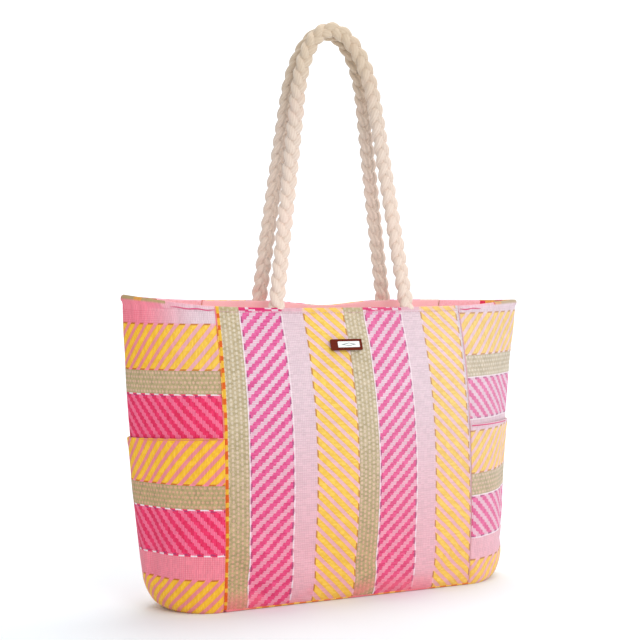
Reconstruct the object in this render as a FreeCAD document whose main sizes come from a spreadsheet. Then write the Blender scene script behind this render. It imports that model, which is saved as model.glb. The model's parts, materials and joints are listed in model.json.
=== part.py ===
"""Beach tote: woven body with side pockets, zip top and two braided rope handles.

Frame: millimetres, +Z up, origin on the ground at the centre of the base, front of the bag towards -Y.
"""

import FreeCAD, Part
import Sketcher

import math
import os

V = FreeCAD.Vector

# Driving dimensions: alias, value in millimetres, degrees or a plain ratio, note.
DIMENSIONS = [
    ("body_height", 356.0, "nominal height of the walls"),
    ("panel_width", 334.0, "front and back panels, seam to seam"),
    ("rim_half_width", 271.0, "centre to gusset tip at the rim"),
    ("base_half_width", 234.5, "centre to gusset tip low down"),
    ("tip_sway", 5.0, "how far the gusset tips sag towards -X half way up"),
    ("rim_seam_depth", 26.0, "centre plane to seam at the rim"),
    ("base_seam_depth", 60.0, "centre plane to seam in the lower half"),
    ("depth_power", 3.8, "how late the walls lean in towards the rim"),
    ("belly_bulge", 17.0, "how far the panels swell past their seams"),
    ("rim_bulge", 4.0, "swell left at the rim"),
    ("gusset_round", 1.0, "gusset section power at the base, 1 is a quarter ellipse"),
    ("gusset_point", 0.2, "added to that power at the rim"),
    ("gusset_fold", 0.4, "added in the upper half, where the side folds inwards"),
    ("base_tuck", 18.0, "how far the gusset tips tuck in under the bag"),
    ("base_tuck_height", 44.0, "height over which they tuck in"),
    ("base_tuck_share", 0.95, "share of a quarter round that the tuck turns through"),
    ("foot_round", 10.0, "how far the walls draw in at the foot of the seams"),
    ("foot_height", 52.0, "height over which that fades"),
    ("tip_inset", 0.85, "how far a layer's tip falls back, as a share of a sharp fold's"),
    ("cloth", 1.6, "thickness of the woven cloth"),
    ("base_gap", 1.6, "clearance between base panel and walls"),
    ("seam_gap", 0.3, "clearance between neighbouring edges"),
    ("front_rim_mid", 354.0, "front rim height at the centre"),
    ("back_rim_mid", 357.0, "back rim height at the centre"),
    ("back_rim_side", 363.5, "back rim height beside the handles"),
    ("back_dip_width", 48.0, "half width of the dip between the back handle's legs"),
    ("rim_end", 364.5, "mean rim height at the gusset tips"),
    ("rim_tilt", 4.0, "left tip above that mean, right tip below it"),
    ("rim_power", 3.3, "shape of the front rim's sag"),
    ("pocket_height", 204.0, "side pockets"),
    ("pocket_gap", 0.5, "clearance between pocket and gusset"),
    ("facing_height", 27.0, "inner band round the mouth"),
    ("facing_cloth", 0.9, "thickness of that band"),
    ("facing_inset", 2.1, "band's outer face, measured from the wall's outer face"),
    ("facing_drop", 0.4, "band's top edge below the rim"),
    ("facing_end_gap", 1.2, "clearance between the band's four lengths"),
    ("facing_room", 1.2, "clearance between band and rope end"),
    ("rope_pocket_width", 30.0, "half width of the band's swell over a rope end"),
    ("lining_inset", 3.4, "lining's outer face, measured from the wall's outer face"),
    ("lining_cloth", 0.6, "thickness of the lining"),
    ("lining_drop", 6.0, "lining's top edge below the zip closure"),
    ("lining_trim", 0.2, "slice taken off the lining's top, which leaves it open"),
    ("rope_width", 20.0, "braid, across its flat"),
    ("rope_depth", 15.0, "braid, through its flat"),
    ("rope_end_depth", 7.0, "sewn-down rope end"),
    ("rope_end_width", 24.0, "sewn-down rope end"),
    ("rope_end_gap", 1.4, "clearance between rope end and wall"),
    ("rope_end_low", 330.0, "height of the rope ends' foot"),
    ("handle_half_span", 90.0, "centre to rope leg at the rim"),
    ("handle_root_depth", 23.5, "centre plane to rope at the rim"),
    ("handle_crown_depth", 9.5, "centre plane to rope at the crown"),
    ("handle_rise", 347.0, "rim to the crown's centre line"),
    ("handle_root_height", 355.0, "height where the rope leaves the rim"),
    ("crown_half_width", 55.2, "crown ellipse"),
    ("crown_half_height", 124.0, "crown ellipse"),
    ("crown_start_angle", 18.07, "where the legs meet the crown ellipse"),
    ("swing_height", 375.0, "axis about which the legs swing"),
    ("bend_height", 442.0, "axis about which the loop bends"),
    ("bend_gap", 0.6, "clearance where the rope is divided"),
    ("leg_end_gap", 0.8, "further clearance for the leg's flat upper end"),
    ("swing_ball", 9.2, "radius of the rope's rounded foot"),
    ("bend_ball", 8.2, "radius of the loop's rounded ends"),
    ("zip_height", 324.0, "mid plane of the zip tape"),
    ("flap_half_length", 170.0, "opening half of the zip closure"),
    ("flap_hinge_depth", 30.5, "centre plane to the flap's sewn edge"),
    ("flap_cloth", 1.0, "zip panel cloth"),
    ("flap_lift", 0.15, "clearance between that cloth and the tape"),
    ("tape_reach", 17.0, "tape's outer edge from the centre plane"),
    ("tape_thickness", 0.6, "zip tape"),
    ("coil_half_width", 2.6, "one row of teeth"),
    ("coil_thickness", 2.2, "zip teeth"),
    ("coil_gap", 0.55, "from the centre plane to a row"),
    ("tape_edge_gap", 0.05, "clearance between tape and teeth"),
    ("zip_cloth_margin", 5.5, "from the teeth to the edge of the closure's cloth"),
    ("zip_end_half_depth", 26.0, "fixed part of the closure at each end"),
    ("zip_end_length", 30.0, "fixed part of the closure at each end"),
    ("zip_end_coil_length", 20.0, "closed teeth on each fixed end"),
    ("stop_length", 3.0, "metal end stop"),
    ("stop_gap", 1.5, "clearance between stop and the end of its slot"),
    ("slider_length", 13.0, "zip slider"),
    ("slider_width", 9.6, "zip slider"),
    ("slider_plate", 1.3, "zip slider's top and bottom plates"),
    ("slider_clearance", 0.3, "round the teeth"),
    ("slider_web", 0.6, "web that joins the slider's plates"),
    ("slider_corner", 3.0, "rounding of the slider's corners"),
    ("slider_lip", 1.0, "centre plane to the slits for the tape"),
    ("slider_rest", 181.5, "slider's place when the zip is open"),
    ("bail_height", 3.6, "arch that holds the pull"),
    ("bail_width", 1.8, "arch that holds the pull"),
    ("bail_length", 9.0, "arch that holds the pull"),
    ("bail_bar", 1.2, "thickness of the arch"),
    ("bail_round", 1.1, "rounding of the arch"),
    ("bail_root", 0.1, "how far the arch is sunk into the slider"),
    ("pull_length", 30.0, "zip pull"),
    ("pull_width", 8.0, "zip pull"),
    ("pull_thickness", 1.4, "zip pull"),
    ("pull_window_length", 5.4, "window that passes over the arch's foot"),
    ("pull_window_width", 3.4, "window that passes over the arch's foot"),
    ("pull_bar", 1.4, "bar that passes under the arch"),
    ("pull_end_round", 3.2, "rounding of the pull's far end"),
    ("pull_bar_round", 0.6, "rounding of the bar"),
    ("label_width", 42.0, "leather patch"),
    ("label_height", 14.0, "leather patch"),
    ("label_thickness", 1.8, "leather patch"),
    ("label_corner", 1.2, "leather patch"),
    ("label_gap", 1.6, "patch's back, measured from the swollen wall"),
    ("label_side", -7.0, "patch's centre across the front"),
    ("label_level", 309.0, "patch's centre up the front"),
    ("plate_width", 29.0, "metal plate on the patch"),
    ("plate_height", 7.4, "metal plate on the patch"),
    ("plate_thickness", 0.8, "metal plate on the patch"),
    ("plate_side", 2.5, "plate's offset on the patch"),
    ("plate_corner", 0.8, "metal plate on the patch"),
    ("plate_gap", 0.02, "clearance between plate and patch"),
    ("inner_pocket_half_width", 75.0, "slip pocket inside the back"),
    ("inner_pocket_low", 125.0, "slip pocket's foot"),
    ("inner_pocket_top", 255.0, "slip pocket's mouth"),
    ("inner_pocket_gap", 1.2, "clearance between slip pocket and lining"),
]

doc = FreeCAD.newDocument("beach_bag")
sheet = doc.addObject("Spreadsheet::Sheet", "Dimensions")
for row, (alias, value, note) in enumerate(DIMENSIONS, start=1):
    sheet.set(f"A{row}", note)
    sheet.set(f"B{row}", str(value))
    sheet.setAlias(f"B{row}", alias)
doc.recompute()


def dim(alias):
    return float(sheet.get(alias))


HEIGHT = dim("body_height")
HALF_PANEL = dim("panel_width") / 2
CLOTH = dim("cloth")


# ---------------------------------------------------------------- shape of the walls


def level(z):
    return min(max(z / HEIGHT, 0.0), 1.1)


def seam_depth(z, inset):
    """Distance of the front and back seams from the centre plane."""
    lean = min(level(z), 1.04) ** dim("depth_power")
    depth = dim("base_seam_depth") + (dim("rim_seam_depth") - dim("base_seam_depth")) * lean
    return depth - dim("foot_round") * math.exp(-z / dim("foot_height")) - inset


def bulge(z):
    """How far the middle of a panel swells past its seams."""
    swell = max(math.sin(math.pi * min(level(z), 1.0)), 0.0)
    return dim("belly_bulge") * swell + dim("rim_bulge") * level(z)


def tip(side, z):
    """Distance of the left (side -1) or right (side 1) gusset's tip from the centre."""
    height = min(level(z), 1.0)
    reach = dim("base_half_width") + (dim("rim_half_width") - dim("base_half_width")) * height
    reach -= side * dim("tip_sway") * 4 * height * (1 - height)
    share = dim("base_tuck_share")
    below = share * max(0.0, 1 - z / dim("base_tuck_height"))
    return reach - dim("base_tuck") * (1 - math.sqrt(1 - below**2)) / (1 - math.sqrt(1 - share**2))


def panel_point(side, x, z, inset):
    """Point of the front (side -1) or back (side 1) panel."""
    swell = bulge(z) * (1 - (x / HALF_PANEL) ** 2)
    return V(x, side * (seam_depth(z, inset) + swell), z)


def gusset_point(side, turn, z, inset):
    """Point of the left (side -1) or right (side 1) gusset; turn runs from -1, front seam, to 1, back seam."""
    reach = tip(side, z) - HALF_PANEL
    depth = seam_depth(z, 0.0)
    reach -= dim("tip_inset") * inset * math.hypot(reach, depth) / depth
    height = min(level(z), 1.0)
    power = dim("gusset_round") + height * (
        dim("gusset_point") + dim("gusset_fold") * math.sin(math.pi * height)
    )
    start = math.asin((dim("seam_gap") / reach) ** (1 / power))
    angle = start + (1 - abs(turn)) * (math.pi / 2 - start)
    x = HALF_PANEL + reach * math.sin(angle) ** power
    y = seam_depth(z, inset) * max(math.cos(angle), 0.0) ** power
    return V(side * x, math.copysign(y, turn), z)


def rim_end(x):
    """Rim height at the gusset tip on the same side as x."""
    return dim("rim_end") - math.copysign(dim("rim_tilt"), x)


def front_rim(x):
    rise = rim_end(x) - dim("front_rim_mid")
    return dim("front_rim_mid") + rise * (abs(x) / dim("rim_half_width")) ** dim("rim_power")


def back_rim(x):
    side = dim("back_rim_side") - dim("back_rim_mid")
    end = rim_end(x) - dim("back_rim_side")
    dip = math.exp(-((x / dim("back_dip_width")) ** 2))
    return dim("back_rim_mid") + side * (1 - dip) + end * (abs(x) / dim("rim_half_width")) ** 4


def rim_at(x, y):
    """Rim height over a point of the wall, passing smoothly from the front rim to the back one."""
    share = min(max(0.5 + y / (2 * dim("rim_seam_depth")), 0.0), 1.0)
    return front_rim(x) * (1 - share) + back_rim(x) * share


# ---------------------------------------------------------------- solids from cloth


def spread(low, high, count):
    return [low + (high - low) * i / (count - 1) for i in range(count)]


def surface(grid):
    patch = Part.BSplineSurface()
    patch.interpolate(grid)
    return patch


def cloth_solid(outer, inner):
    """Closed solid between two grids of points that have the same layout."""
    out, inn = surface(outer), surface(inner)
    faces = [out.toShape(), inn.toShape()]
    for first, second in zip(border(out), border(inn)):
        faces.append(Part.makeRuledSurface(first.toShape(), second.toShape()))
    shell = Part.makeShell(faces)
    shell.sewShape()
    solid = Part.makeSolid(shell)
    if solid.Volume < 0:
        solid.reverse()
    return solid


def border(patch):
    u0, u1, v0, v1 = patch.bounds()
    return [patch.uIso(u0), patch.uIso(u1), patch.vIso(v0), patch.vIso(v1)]


def feature(label, shape):
    piece = doc.addObject("Part::Feature", label)
    piece.Label = label
    piece.Shape = shape
    piece.Placement = FreeCAD.Placement()
    return piece


def rows_between(low, high, rows, crowd):
    """Heights from low to high, crowded towards low when crowd is above 1."""
    return [low + (high - low) * share**crowd for share in spread(0.0, 1.0, rows)]


def sheet_piece(label, point, across, bottom, top, outer_inset, inner_inset, rows=15, crowd=1.6):
    """Cloth whose point(s, z, inset) is sampled over across and from bottom(s) up to top(s)."""

    def grid(inset):
        lines = []
        for s in across:
            levels = rows_between(bottom(s), top(s), rows, crowd)
            lines.append([point(s, z, inset(s, z)) for z in levels])
        return lines

    return feature(label, cloth_solid(grid(outer_inset), grid(inner_inset)))


def always(value):
    return lambda *_: value


# ---------------------------------------------------------------- woven body


def make_panels():
    edge = HALF_PANEL - dim("seam_gap") / 2
    across = [edge * s for s in spread(-1, 1, 13)]
    for label, side, rim in (("front_panel", -1, front_rim), ("back_panel", 1, back_rim)):
        sheet_piece(
            label,
            lambda x, z, inset, side=side: panel_point(side, x, z, inset),
            across,
            always(0.0),
            rim,
            always(0.0),
            always(CLOTH),
        )


def gusset_rim(side, turn):
    at = gusset_point(side, turn, HEIGHT, 0.0)
    return rim_at(at.x, at.y)


GUSSET_TURNS = spread(-1, 1, 17)


def make_gussets():
    for label, side in (("left_gusset", -1), ("right_gusset", 1)):
        sheet_piece(
            label,
            lambda turn, z, inset, side=side: gusset_point(side, turn, z, inset),
            GUSSET_TURNS,
            always(0.0),
            lambda turn, side=side: gusset_rim(side, turn),
            always(0.0),
            always(CLOTH),
        )


def make_pockets():
    outside = -(dim("pocket_gap") + CLOTH)
    for label, side in (("left_side_pocket", -1), ("right_side_pocket", 1)):
        sheet_piece(
            label,
            lambda turn, z, inset, side=side: gusset_point(side, turn, z, inset),
            GUSSET_TURNS,
            always(0.0),
            always(dim("pocket_height")),
            always(outside),
            always(-dim("pocket_gap")),
        )


def closed_wire(z, inset):
    """Whole wall section at one height as a closed curve."""
    half = HALF_PANEL
    points = [panel_point(-1, x, z, inset) for x in spread(-half, half, 9)]
    points += [gusset_point(1, turn, z, inset) for turn in spread(-1, 1, 9)[1:-1]]
    points += [panel_point(1, x, z, inset) for x in spread(half, -half, 9)]
    points += [gusset_point(-1, turn, z, inset) for turn in spread(1, -1, 9)[1:-1]]
    curve = Part.BSplineCurve()
    curve.interpolate(Points=points, PeriodicFlag=True)
    return Part.Wire(curve.toShape())


def make_base():
    outline = closed_wire(0.0, CLOTH + dim("base_gap"))
    feature("base_panel", Part.Face(outline).extrude(V(0, 0, CLOTH)))


def wall_loft(levels, inset):
    """Solid that fills the walls at an inset, through their sections at the given heights."""
    return Part.makeLoft([closed_wire(z, inset) for z in levels], True, False)


def make_lining():
    """Open bag of thin cloth: a loft less a smaller loft that starts one thickness higher."""
    cloth = dim("lining_cloth")
    inset = dim("lining_inset")
    floor = CLOTH + dim("seam_gap")
    top = dim("zip_height") - dim("lining_drop")
    levels = rows_between(floor, top, 11, 1.6)
    filled = wall_loft(levels, inset)
    hollow = wall_loft([floor + cloth] + levels[1:], inset + cloth)
    half_x = dim("rim_half_width")
    half_y = dim("base_seam_depth") + dim("belly_bulge")
    lid = Part.makeBox(2 * half_x, 2 * half_y, 1.0, V(-half_x, -half_y, top - dim("lining_trim")))
    feature("lining", filled.cut(hollow.fuse(lid)))


def make_inner_pocket():
    inset = dim("lining_inset") + dim("lining_cloth") + dim("inner_pocket_gap")
    sheet_piece(
        "inner_pocket",
        lambda x, z, depth: panel_point(1, x, z, depth),
        [dim("inner_pocket_half_width") * s for s in spread(-1, 1, 7)],
        always(dim("inner_pocket_low")),
        always(dim("inner_pocket_top")),
        always(inset),
        always(inset + dim("lining_cloth")),
        rows=7,
        crowd=1.0,
    )


def rope_swell(x):
    """How far the facing stands off the wall to pass over the rope ends."""
    room = dim("rope_end_gap") + dim("rope_end_depth") + dim("facing_room")
    nearest = abs(abs(x) - dim("handle_half_span"))
    return room * math.exp(-((nearest / dim("rope_pocket_width")) ** 4))


def make_facings():
    thick = dim("facing_cloth")
    inset = dim("facing_inset")
    drop = dim("facing_height")
    half = HALF_PANEL - dim("facing_end_gap")
    for label, side, rim in (("front_facing", -1, front_rim), ("back_facing", 1, back_rim)):
        sheet_piece(
            label,
            lambda x, z, depth, side=side: panel_point(side, x, z, depth),
            [half * s for s in spread(-1, 1, 41)],
            lambda x, rim=rim: rim(x) - drop,
            lambda x, rim=rim: rim(x) - dim("facing_drop"),
            lambda x, z: inset + rope_swell(x),
            lambda x, z: inset + rope_swell(x) + thick,
            rows=5,
            crowd=1.0,
        )
    for label, side in (("left_facing", -1), ("right_facing", 1)):
        sheet_piece(
            label,
            lambda turn, z, depth, side=side: gusset_point(side, turn, z, depth),
            GUSSET_TURNS,
            lambda turn, side=side: gusset_rim(side, turn) - drop,
            lambda turn, side=side: gusset_rim(side, turn) - dim("facing_drop"),
            always(inset),
            always(inset + thick),
            rows=5,
            crowd=1.0,
        )


# ---------------------------------------------------------------- rope handles


def link(obj, **bindings):
    for name, expression in bindings.items():
        obj.setExpression(name, expression)
    return obj


def box(label, length, width, height, corner):
    """Part::Box with its sizes as expressions and its lowest corner at a point."""
    solid = doc.addObject("Part::Box", label)
    solid.Label = label
    link(solid, Length=length, Width=width, Height=height)
    solid.Placement.Base = corner
    return solid


def compound(label, shapes):
    group = doc.addObject("Part::Compound", label)
    group.Label = label
    group.Links = shapes
    return group


def lean_direction(side):
    """Unit vector up the leaning plane of a handle; side is -1 for the front one."""
    inward = -side * (dim("handle_root_depth") - dim("handle_crown_depth"))
    direction = V(0, inward, dim("handle_rise"))
    return direction.normalize()


def on_handle(side, x, rise):
    """Point at x and at a height above the rim, in the handle's leaning plane."""
    root = V(0, side * dim("handle_root_depth"), dim("handle_root_height"))
    up = lean_direction(side)
    return root + up * (rise / up.z) + V(x, 0, 0)


def leg_x(rise):
    """Half span of the straight legs at a height above the rim."""
    start = math.radians(dim("crown_start_angle"))
    x1 = dim("crown_half_width") * math.cos(start)
    z1 = crown_base() + dim("crown_half_height") * math.sin(start)
    share = rise / z1
    return dim("handle_half_span") + (x1 - dim("handle_half_span")) * share


def crown_base():
    return dim("handle_rise") - dim("crown_half_height")


def crown_points(side, count=13):
    start = math.radians(dim("crown_start_angle"))
    points = []
    for angle in spread(start, math.pi - start, count):
        rise = crown_base() + dim("crown_half_height") * math.sin(angle)
        points.append(on_handle(side, dim("crown_half_width") * math.cos(angle), rise))
    return points


def rope_ellipse(name, at, along):
    """Cross-section of the rope at a point, square to a direction, long axis across the bag's width."""
    ellipse = doc.addObject("Part::Ellipse", name)
    link(ellipse, MajorRadius="Dimensions.rope_width / 2", MinorRadius="Dimensions.rope_depth / 2")
    normal = V(along).normalize()
    long_axis = (V(1, 0, 0) - normal * normal.x).normalize()
    ellipse.Placement = FreeCAD.Placement(at, FreeCAD.Rotation(long_axis, V(), normal, "ZXY"))
    return ellipse


def sweep(label, path, profile):
    spine = feature(label + "_path", path)
    swept = doc.addObject("Part::Sweep", label)
    swept.Sections = [profile]
    swept.Spine = (spine, ["Edge%d" % (i + 1) for i in range(len(path.Edges))])
    swept.Solid = True
    swept.Frenet = False
    return swept


def sphere(name, at, radius):
    ball = doc.addObject("Part::Sphere", name)
    link(ball, Radius=radius)
    ball.Placement.Base = at
    return ball


def fuse(label, shapes):
    whole = doc.addObject("Part::MultiFuse", label)
    whole.Label = label
    whole.Shapes = shapes
    return whole


def make_loop(name, side):
    """The arch of rope above the bend, with a ball at each end for the leg to turn against."""
    bend = dim("bend_height") - dim("handle_root_height")
    first = on_handle(side, leg_x(bend), bend)
    last = on_handle(side, -leg_x(bend), bend)
    points = crown_points(side)
    rising = points[0] - first
    curve = Part.BSplineCurve()
    curve.interpolate(Points=points, InitialTangent=rising, FinalTangent=last - points[-1])
    path = Part.Wire([Part.makeLine(first, points[0]), curve.toShape(), Part.makeLine(points[-1], last)])
    rope = sweep(name + "_rope", path, rope_ellipse(name + "_profile", first, rising))
    balls = [sphere(f"{name}_bend_{i}", at, "Dimensions.bend_ball") for i, at in enumerate((first, last))]
    fuse(name + "_loop", [rope] + balls)


def make_legs(name, side):
    """The two straight lengths of rope between the swing axis and the bend."""
    swing = dim("swing_height") - dim("handle_root_height")
    bend = dim("bend_height") - dim("handle_root_height")
    reach = bend - dim("bend_ball") - dim("bend_gap") - dim("leg_end_gap")
    pieces = []
    for i, hand in enumerate((1, -1)):
        low = on_handle(side, hand * leg_x(swing), swing)
        high = on_handle(side, hand * leg_x(reach), reach)
        line = Part.Wire([Part.makeLine(low, high)])
        profile = rope_ellipse(f"{name}_leg_profile_{i}", low, high - low)
        pieces.append(sweep(f"{name}_leg_{i}", line, profile))
        pieces.append(sphere(f"{name}_swing_{i}", low, "Dimensions.swing_ball"))
    fuse(name + "_legs", pieces)


def wall_lean(side, x, low, high):
    """Angle by which the wall leans from vertical between two heights, as a turn about +X in degrees."""
    step = panel_point(side, x, high, 0.0) - panel_point(side, x, low, 0.0)
    return math.degrees(math.atan2(-step.y, step.z))


def make_rope_ends(name, side):
    """The flattened rope ends, sewn down between wall and facing and standing just above the rim."""
    span = dim("handle_half_span")
    low = dim("rope_end_low")
    high = dim("swing_height") - dim("rope_width") / 2 - dim("bend_gap")
    middle = (low + high) / 2
    turn = FreeCAD.Rotation(V(1, 0, 0), wall_lean(side, span, low, high))
    outer_face = dim("rope_end_depth") if side > 0 else 0.0
    reference = V(dim("rope_end_width") / 2, outer_face, (high - low) / 2)
    ends = []
    for i, hand in enumerate((1, -1)):
        end = box(
            f"{name}_end_{i}",
            "Dimensions.rope_end_width",
            "Dimensions.rope_end_depth",
            "Dimensions.swing_height - Dimensions.rope_width / 2"
            " - Dimensions.bend_gap - Dimensions.rope_end_low",
            V(),
        )
        at = panel_point(side, hand * span, middle, CLOTH + dim("rope_end_gap"))
        end.Placement = FreeCAD.Placement(at - turn.multVec(reference), turn)
        ends.append(end)
    compound(name + "_ends", ends)


def make_handle(name, side):
    make_loop(name, side)
    make_legs(name, side)
    make_rope_ends(name, side)


# ---------------------------------------------------------------- zip closure


def flap_box(label, side, near, reach, low, thickness):
    """Strip of a hanging flap: reach runs down from the sewn edge, thickness towards the mouth's middle."""
    y = side * (dim("flap_hinge_depth") - low)
    y = min(y, y - side * thickness[0])
    corner = V(-dim("flap_half_length"), y, dim("zip_height") - near - reach[0])
    return box(label, "2 * Dimensions.flap_half_length", thickness[1], reach[1], corner)


def make_flaps():
    """The two halves of the closure, hanging down inside the open mouth."""
    to_row = dim("flap_hinge_depth") - dim("coil_gap") - dim("coil_half_width")
    row = (dim("coil_half_width"), "Dimensions.coil_half_width")
    teeth = (dim("coil_thickness"), "Dimensions.coil_thickness")
    tape_near = dim("flap_hinge_depth") - dim("tape_reach")
    tape_reach = to_row - dim("tape_edge_gap") - tape_near
    tape = (
        tape_reach,
        "Dimensions.tape_reach - Dimensions.coil_gap - Dimensions.coil_half_width"
        " - Dimensions.tape_edge_gap",
    )
    tape_thickness = (dim("tape_thickness"), "Dimensions.tape_thickness")
    cloth_reach = to_row - dim("zip_cloth_margin")
    cloth = (
        cloth_reach,
        "Dimensions.flap_hinge_depth - Dimensions.coil_gap - Dimensions.coil_half_width"
        " - Dimensions.zip_cloth_margin",
    )
    cloth_thickness = (dim("flap_cloth"), "Dimensions.flap_cloth")
    for name, side in (("front", -1), ("back", 1)):
        flap_box(f"zip_panel_{name}", side, 0.0, cloth, cloth_low(), cloth_thickness)
        flap_box(f"zip_tape_{name}", side, tape_near, tape, -dim("tape_thickness") / 2, tape_thickness)
        flap_box(f"zip_coil_{name}", side, to_row, row, -dim("coil_thickness") / 2, teeth)


def cloth_low():
    """Underside of the closure's cloth above the mid plane of its tape."""
    return dim("tape_thickness") / 2 + dim("flap_lift")


def end_rows(label, hand, start, length, length_expression):
    """Two short rows of teeth, or two stops, on a fixed end; hand is -1 for the left one."""
    rows = []
    for i, side in enumerate((-1, 1)):
        near = side * dim("coil_gap")
        far = near + side * dim("coil_half_width")
        corner = V(
            min(hand * start, hand * (start + length)),
            min(near, far),
            dim("zip_height") - dim("coil_thickness") / 2,
        )
        sizes = (length_expression, "Dimensions.coil_half_width", "Dimensions.coil_thickness")
        rows.append(box(f"{label}_{i}", *sizes, corner))
    return rows


def make_zip_ends():
    """The closure's short fixed ends, each a U of cloth round the last teeth, with two stops."""
    start = dim("flap_half_length") + 2 * dim("seam_gap")
    length = dim("zip_end_length")
    half = dim("zip_end_half_depth")
    cloth = dim("flap_cloth")
    low = dim("zip_height") + cloth_low()
    slot_half = dim("coil_gap") + dim("coil_half_width") + dim("zip_cloth_margin")
    teeth = dim("zip_end_coil_length")
    slot_reach = teeth + dim("stop_length") + dim("stop_gap")
    coils, stops = [], []
    for name, hand in (("left", -1), ("right", 1)):
        corner = V(min(hand * start, hand * (start + length)), -half, low)
        plate = Part.makeBox(length, 2 * half, cloth, corner)
        slot_corner = V(min(hand * (start - cloth), hand * (start + slot_reach)), -slot_half, low - cloth)
        slot = Part.makeBox(slot_reach + cloth, 2 * slot_half, 3 * cloth, slot_corner)
        feature(f"zip_end_{name}", plate.cut(slot))
        coils += end_rows(f"end_coil_{name}", hand, start, teeth, "Dimensions.zip_end_coil_length")
        stop_start = start + teeth + dim("seam_gap")
        stops += end_rows(f"end_stop_{name}", hand, stop_start, dim("stop_length"), "Dimensions.stop_length")
    compound("zip_end_coils", coils)
    compound("zip_stops", stops)


def origin_plane(body, role):
    for item in body.Origin.OriginFeatures:
        if item.Role == role:
            return item
    raise ValueError(role)


def new_body(label):
    body = doc.addObject("PartDesign::Body", label)
    body.Label = label
    return body


def new_sketch(body, name, role, offset=None):
    sketch = body.newObject("Sketcher::SketchObject", name)
    sketch.AttachmentSupport = [(origin_plane(body, role), "")]
    sketch.MapMode = "FlatFace"
    if offset is not None:
        sketch.AttachmentOffset = offset
    return sketch


def rectangle(sketch, width, height, centre_x="0", centre_y="0"):
    """Rectangle with its sizes and centre bound to expressions."""
    corners = [V(-1, -1, 0), V(1, -1, 0), V(1, 1, 0), V(-1, 1, 0)]
    first = sketch.GeometryCount
    for i in range(4):
        sketch.addGeometry(Part.LineSegment(corners[i], corners[(i + 1) % 4]), False)
    for i in range(4):
        sketch.addConstraint(Sketcher.Constraint("Coincident", first + i, 2, first + (i + 1) % 4, 1))
    for i, kind in enumerate(("Horizontal", "Vertical", "Horizontal", "Vertical")):
        sketch.addConstraint(Sketcher.Constraint(kind, first + i))
    bound = [
        (("DistanceX", first, 1, first, 2, 2.0), width),
        (("DistanceY", first + 1, 1, first + 1, 2, 2.0), height),
        (("DistanceX", -1, 1, first, 1, -1.0), f"{centre_x} - ({width}) / 2"),
        (("DistanceY", -1, 1, first, 1, -1.0), f"{centre_y} - ({height}) / 2"),
    ]
    for arguments, expression in bound:
        number = sketch.addConstraint(Sketcher.Constraint(*arguments))
        sketch.setExpression(f"Constraints[{number}]", expression)


def pad(body, sketch, name, length, midplane=False):
    made = body.newObject("PartDesign::Pad", name)
    made.Profile = sketch
    made.Midplane = midplane
    made.setExpression("Length", length)
    body.Tip = made
    return made


def pocket_through(body, sketch, name):
    """Pocket through everything on both sides of the sketch plane."""
    made = body.newObject("PartDesign::Pocket", name)
    made.Profile = sketch
    made.Type = "ThroughAll"
    made.Midplane = True
    body.Tip = made
    return made


def fillet_edges(body, base, name, radius, wanted):
    doc.recompute()
    names = [f"Edge{i + 1}" for i, edge in enumerate(base.Shape.Edges) if wanted(edge)]
    made = body.newObject("PartDesign::Fillet", name)
    made.Base = (base, names)
    made.setExpression("Radius", radius)
    body.Tip = made
    return made


def is_along(edge, axis, shortest=0.5):
    span = edge.BoundBox
    sides = {"x": span.XLength, "y": span.YLength, "z": span.ZLength}
    others = [value for key, value in sides.items() if key != axis]
    return sides[axis] > shortest and max(others) < 1e-6


def make_slider():
    """Slider with a channel for the closed teeth, slits for the tape and an arch for the pull."""
    body = new_body("zip_slider")
    stack = "(Dimensions.coil_thickness + 2 * Dimensions.slider_clearance + 2 * Dimensions.slider_plate)"
    plan = new_sketch(body, "slider_plan", "XY_Plane")
    rectangle(plan, "Dimensions.slider_length", "Dimensions.slider_width")
    block = pad(body, plan, "slider_block", stack, midplane=True)
    fillet_edges(body, block, "slider_corners", "Dimensions.slider_corner", lambda e: is_along(e, "z"))
    outer = "(Dimensions.coil_gap + Dimensions.coil_half_width + Dimensions.slider_clearance)"
    web = "Dimensions.slider_web / 2"
    for name, hand in (("left", "0 -"), ("right", "0 +")):
        channel = new_sketch(body, f"slider_channel_{name}", "YZ_Plane")
        rectangle(
            channel,
            f"{outer} - {web}",
            "Dimensions.coil_thickness + 2 * Dimensions.slider_clearance",
            centre_x=f"{hand} ({outer} + {web}) / 2",
        )
        pocket_through(body, channel, f"slider_channel_cut_{name}")
        slit = new_sketch(body, f"slider_slit_{name}", "YZ_Plane")
        rectangle(
            slit,
            "Dimensions.slider_width",
            "Dimensions.tape_thickness + 2 * Dimensions.slider_clearance",
            centre_x=f"{hand} (Dimensions.slider_lip + Dimensions.slider_width / 2)",
        )
        pocket_through(body, slit, f"slider_slit_cut_{name}")
    top = "(Dimensions.coil_thickness / 2 + Dimensions.slider_clearance + Dimensions.slider_plate)"
    arch = new_sketch(body, "slider_arch", "XZ_Plane")
    rectangle(
        arch,
        "Dimensions.bail_length",
        "Dimensions.bail_height + 2 * Dimensions.bail_root",
        centre_y=f"{top} + Dimensions.bail_height / 2 - Dimensions.bail_root",
    )
    rectangle(
        arch,
        "Dimensions.bail_length - 2 * Dimensions.bail_bar",
        "Dimensions.bail_height - Dimensions.bail_bar - Dimensions.bail_root",
        centre_y=f"{top} + (Dimensions.bail_height - Dimensions.bail_bar + Dimensions.bail_root) / 2",
    )
    bail = pad(body, arch, "slider_bail", "Dimensions.bail_width", midplane=True)
    doc.recompute()
    crest = max(v.Z for v in bail.Shape.Vertexes)
    fillet_edges(
        body,
        bail,
        "slider_bail_round",
        "Dimensions.bail_round",
        lambda e: is_along(e, "y") and abs(e.BoundBox.ZMax - crest) < 0.01,
    )
    body.Placement.Base = V(dim("slider_rest"), 0, dim("zip_height"))


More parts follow.
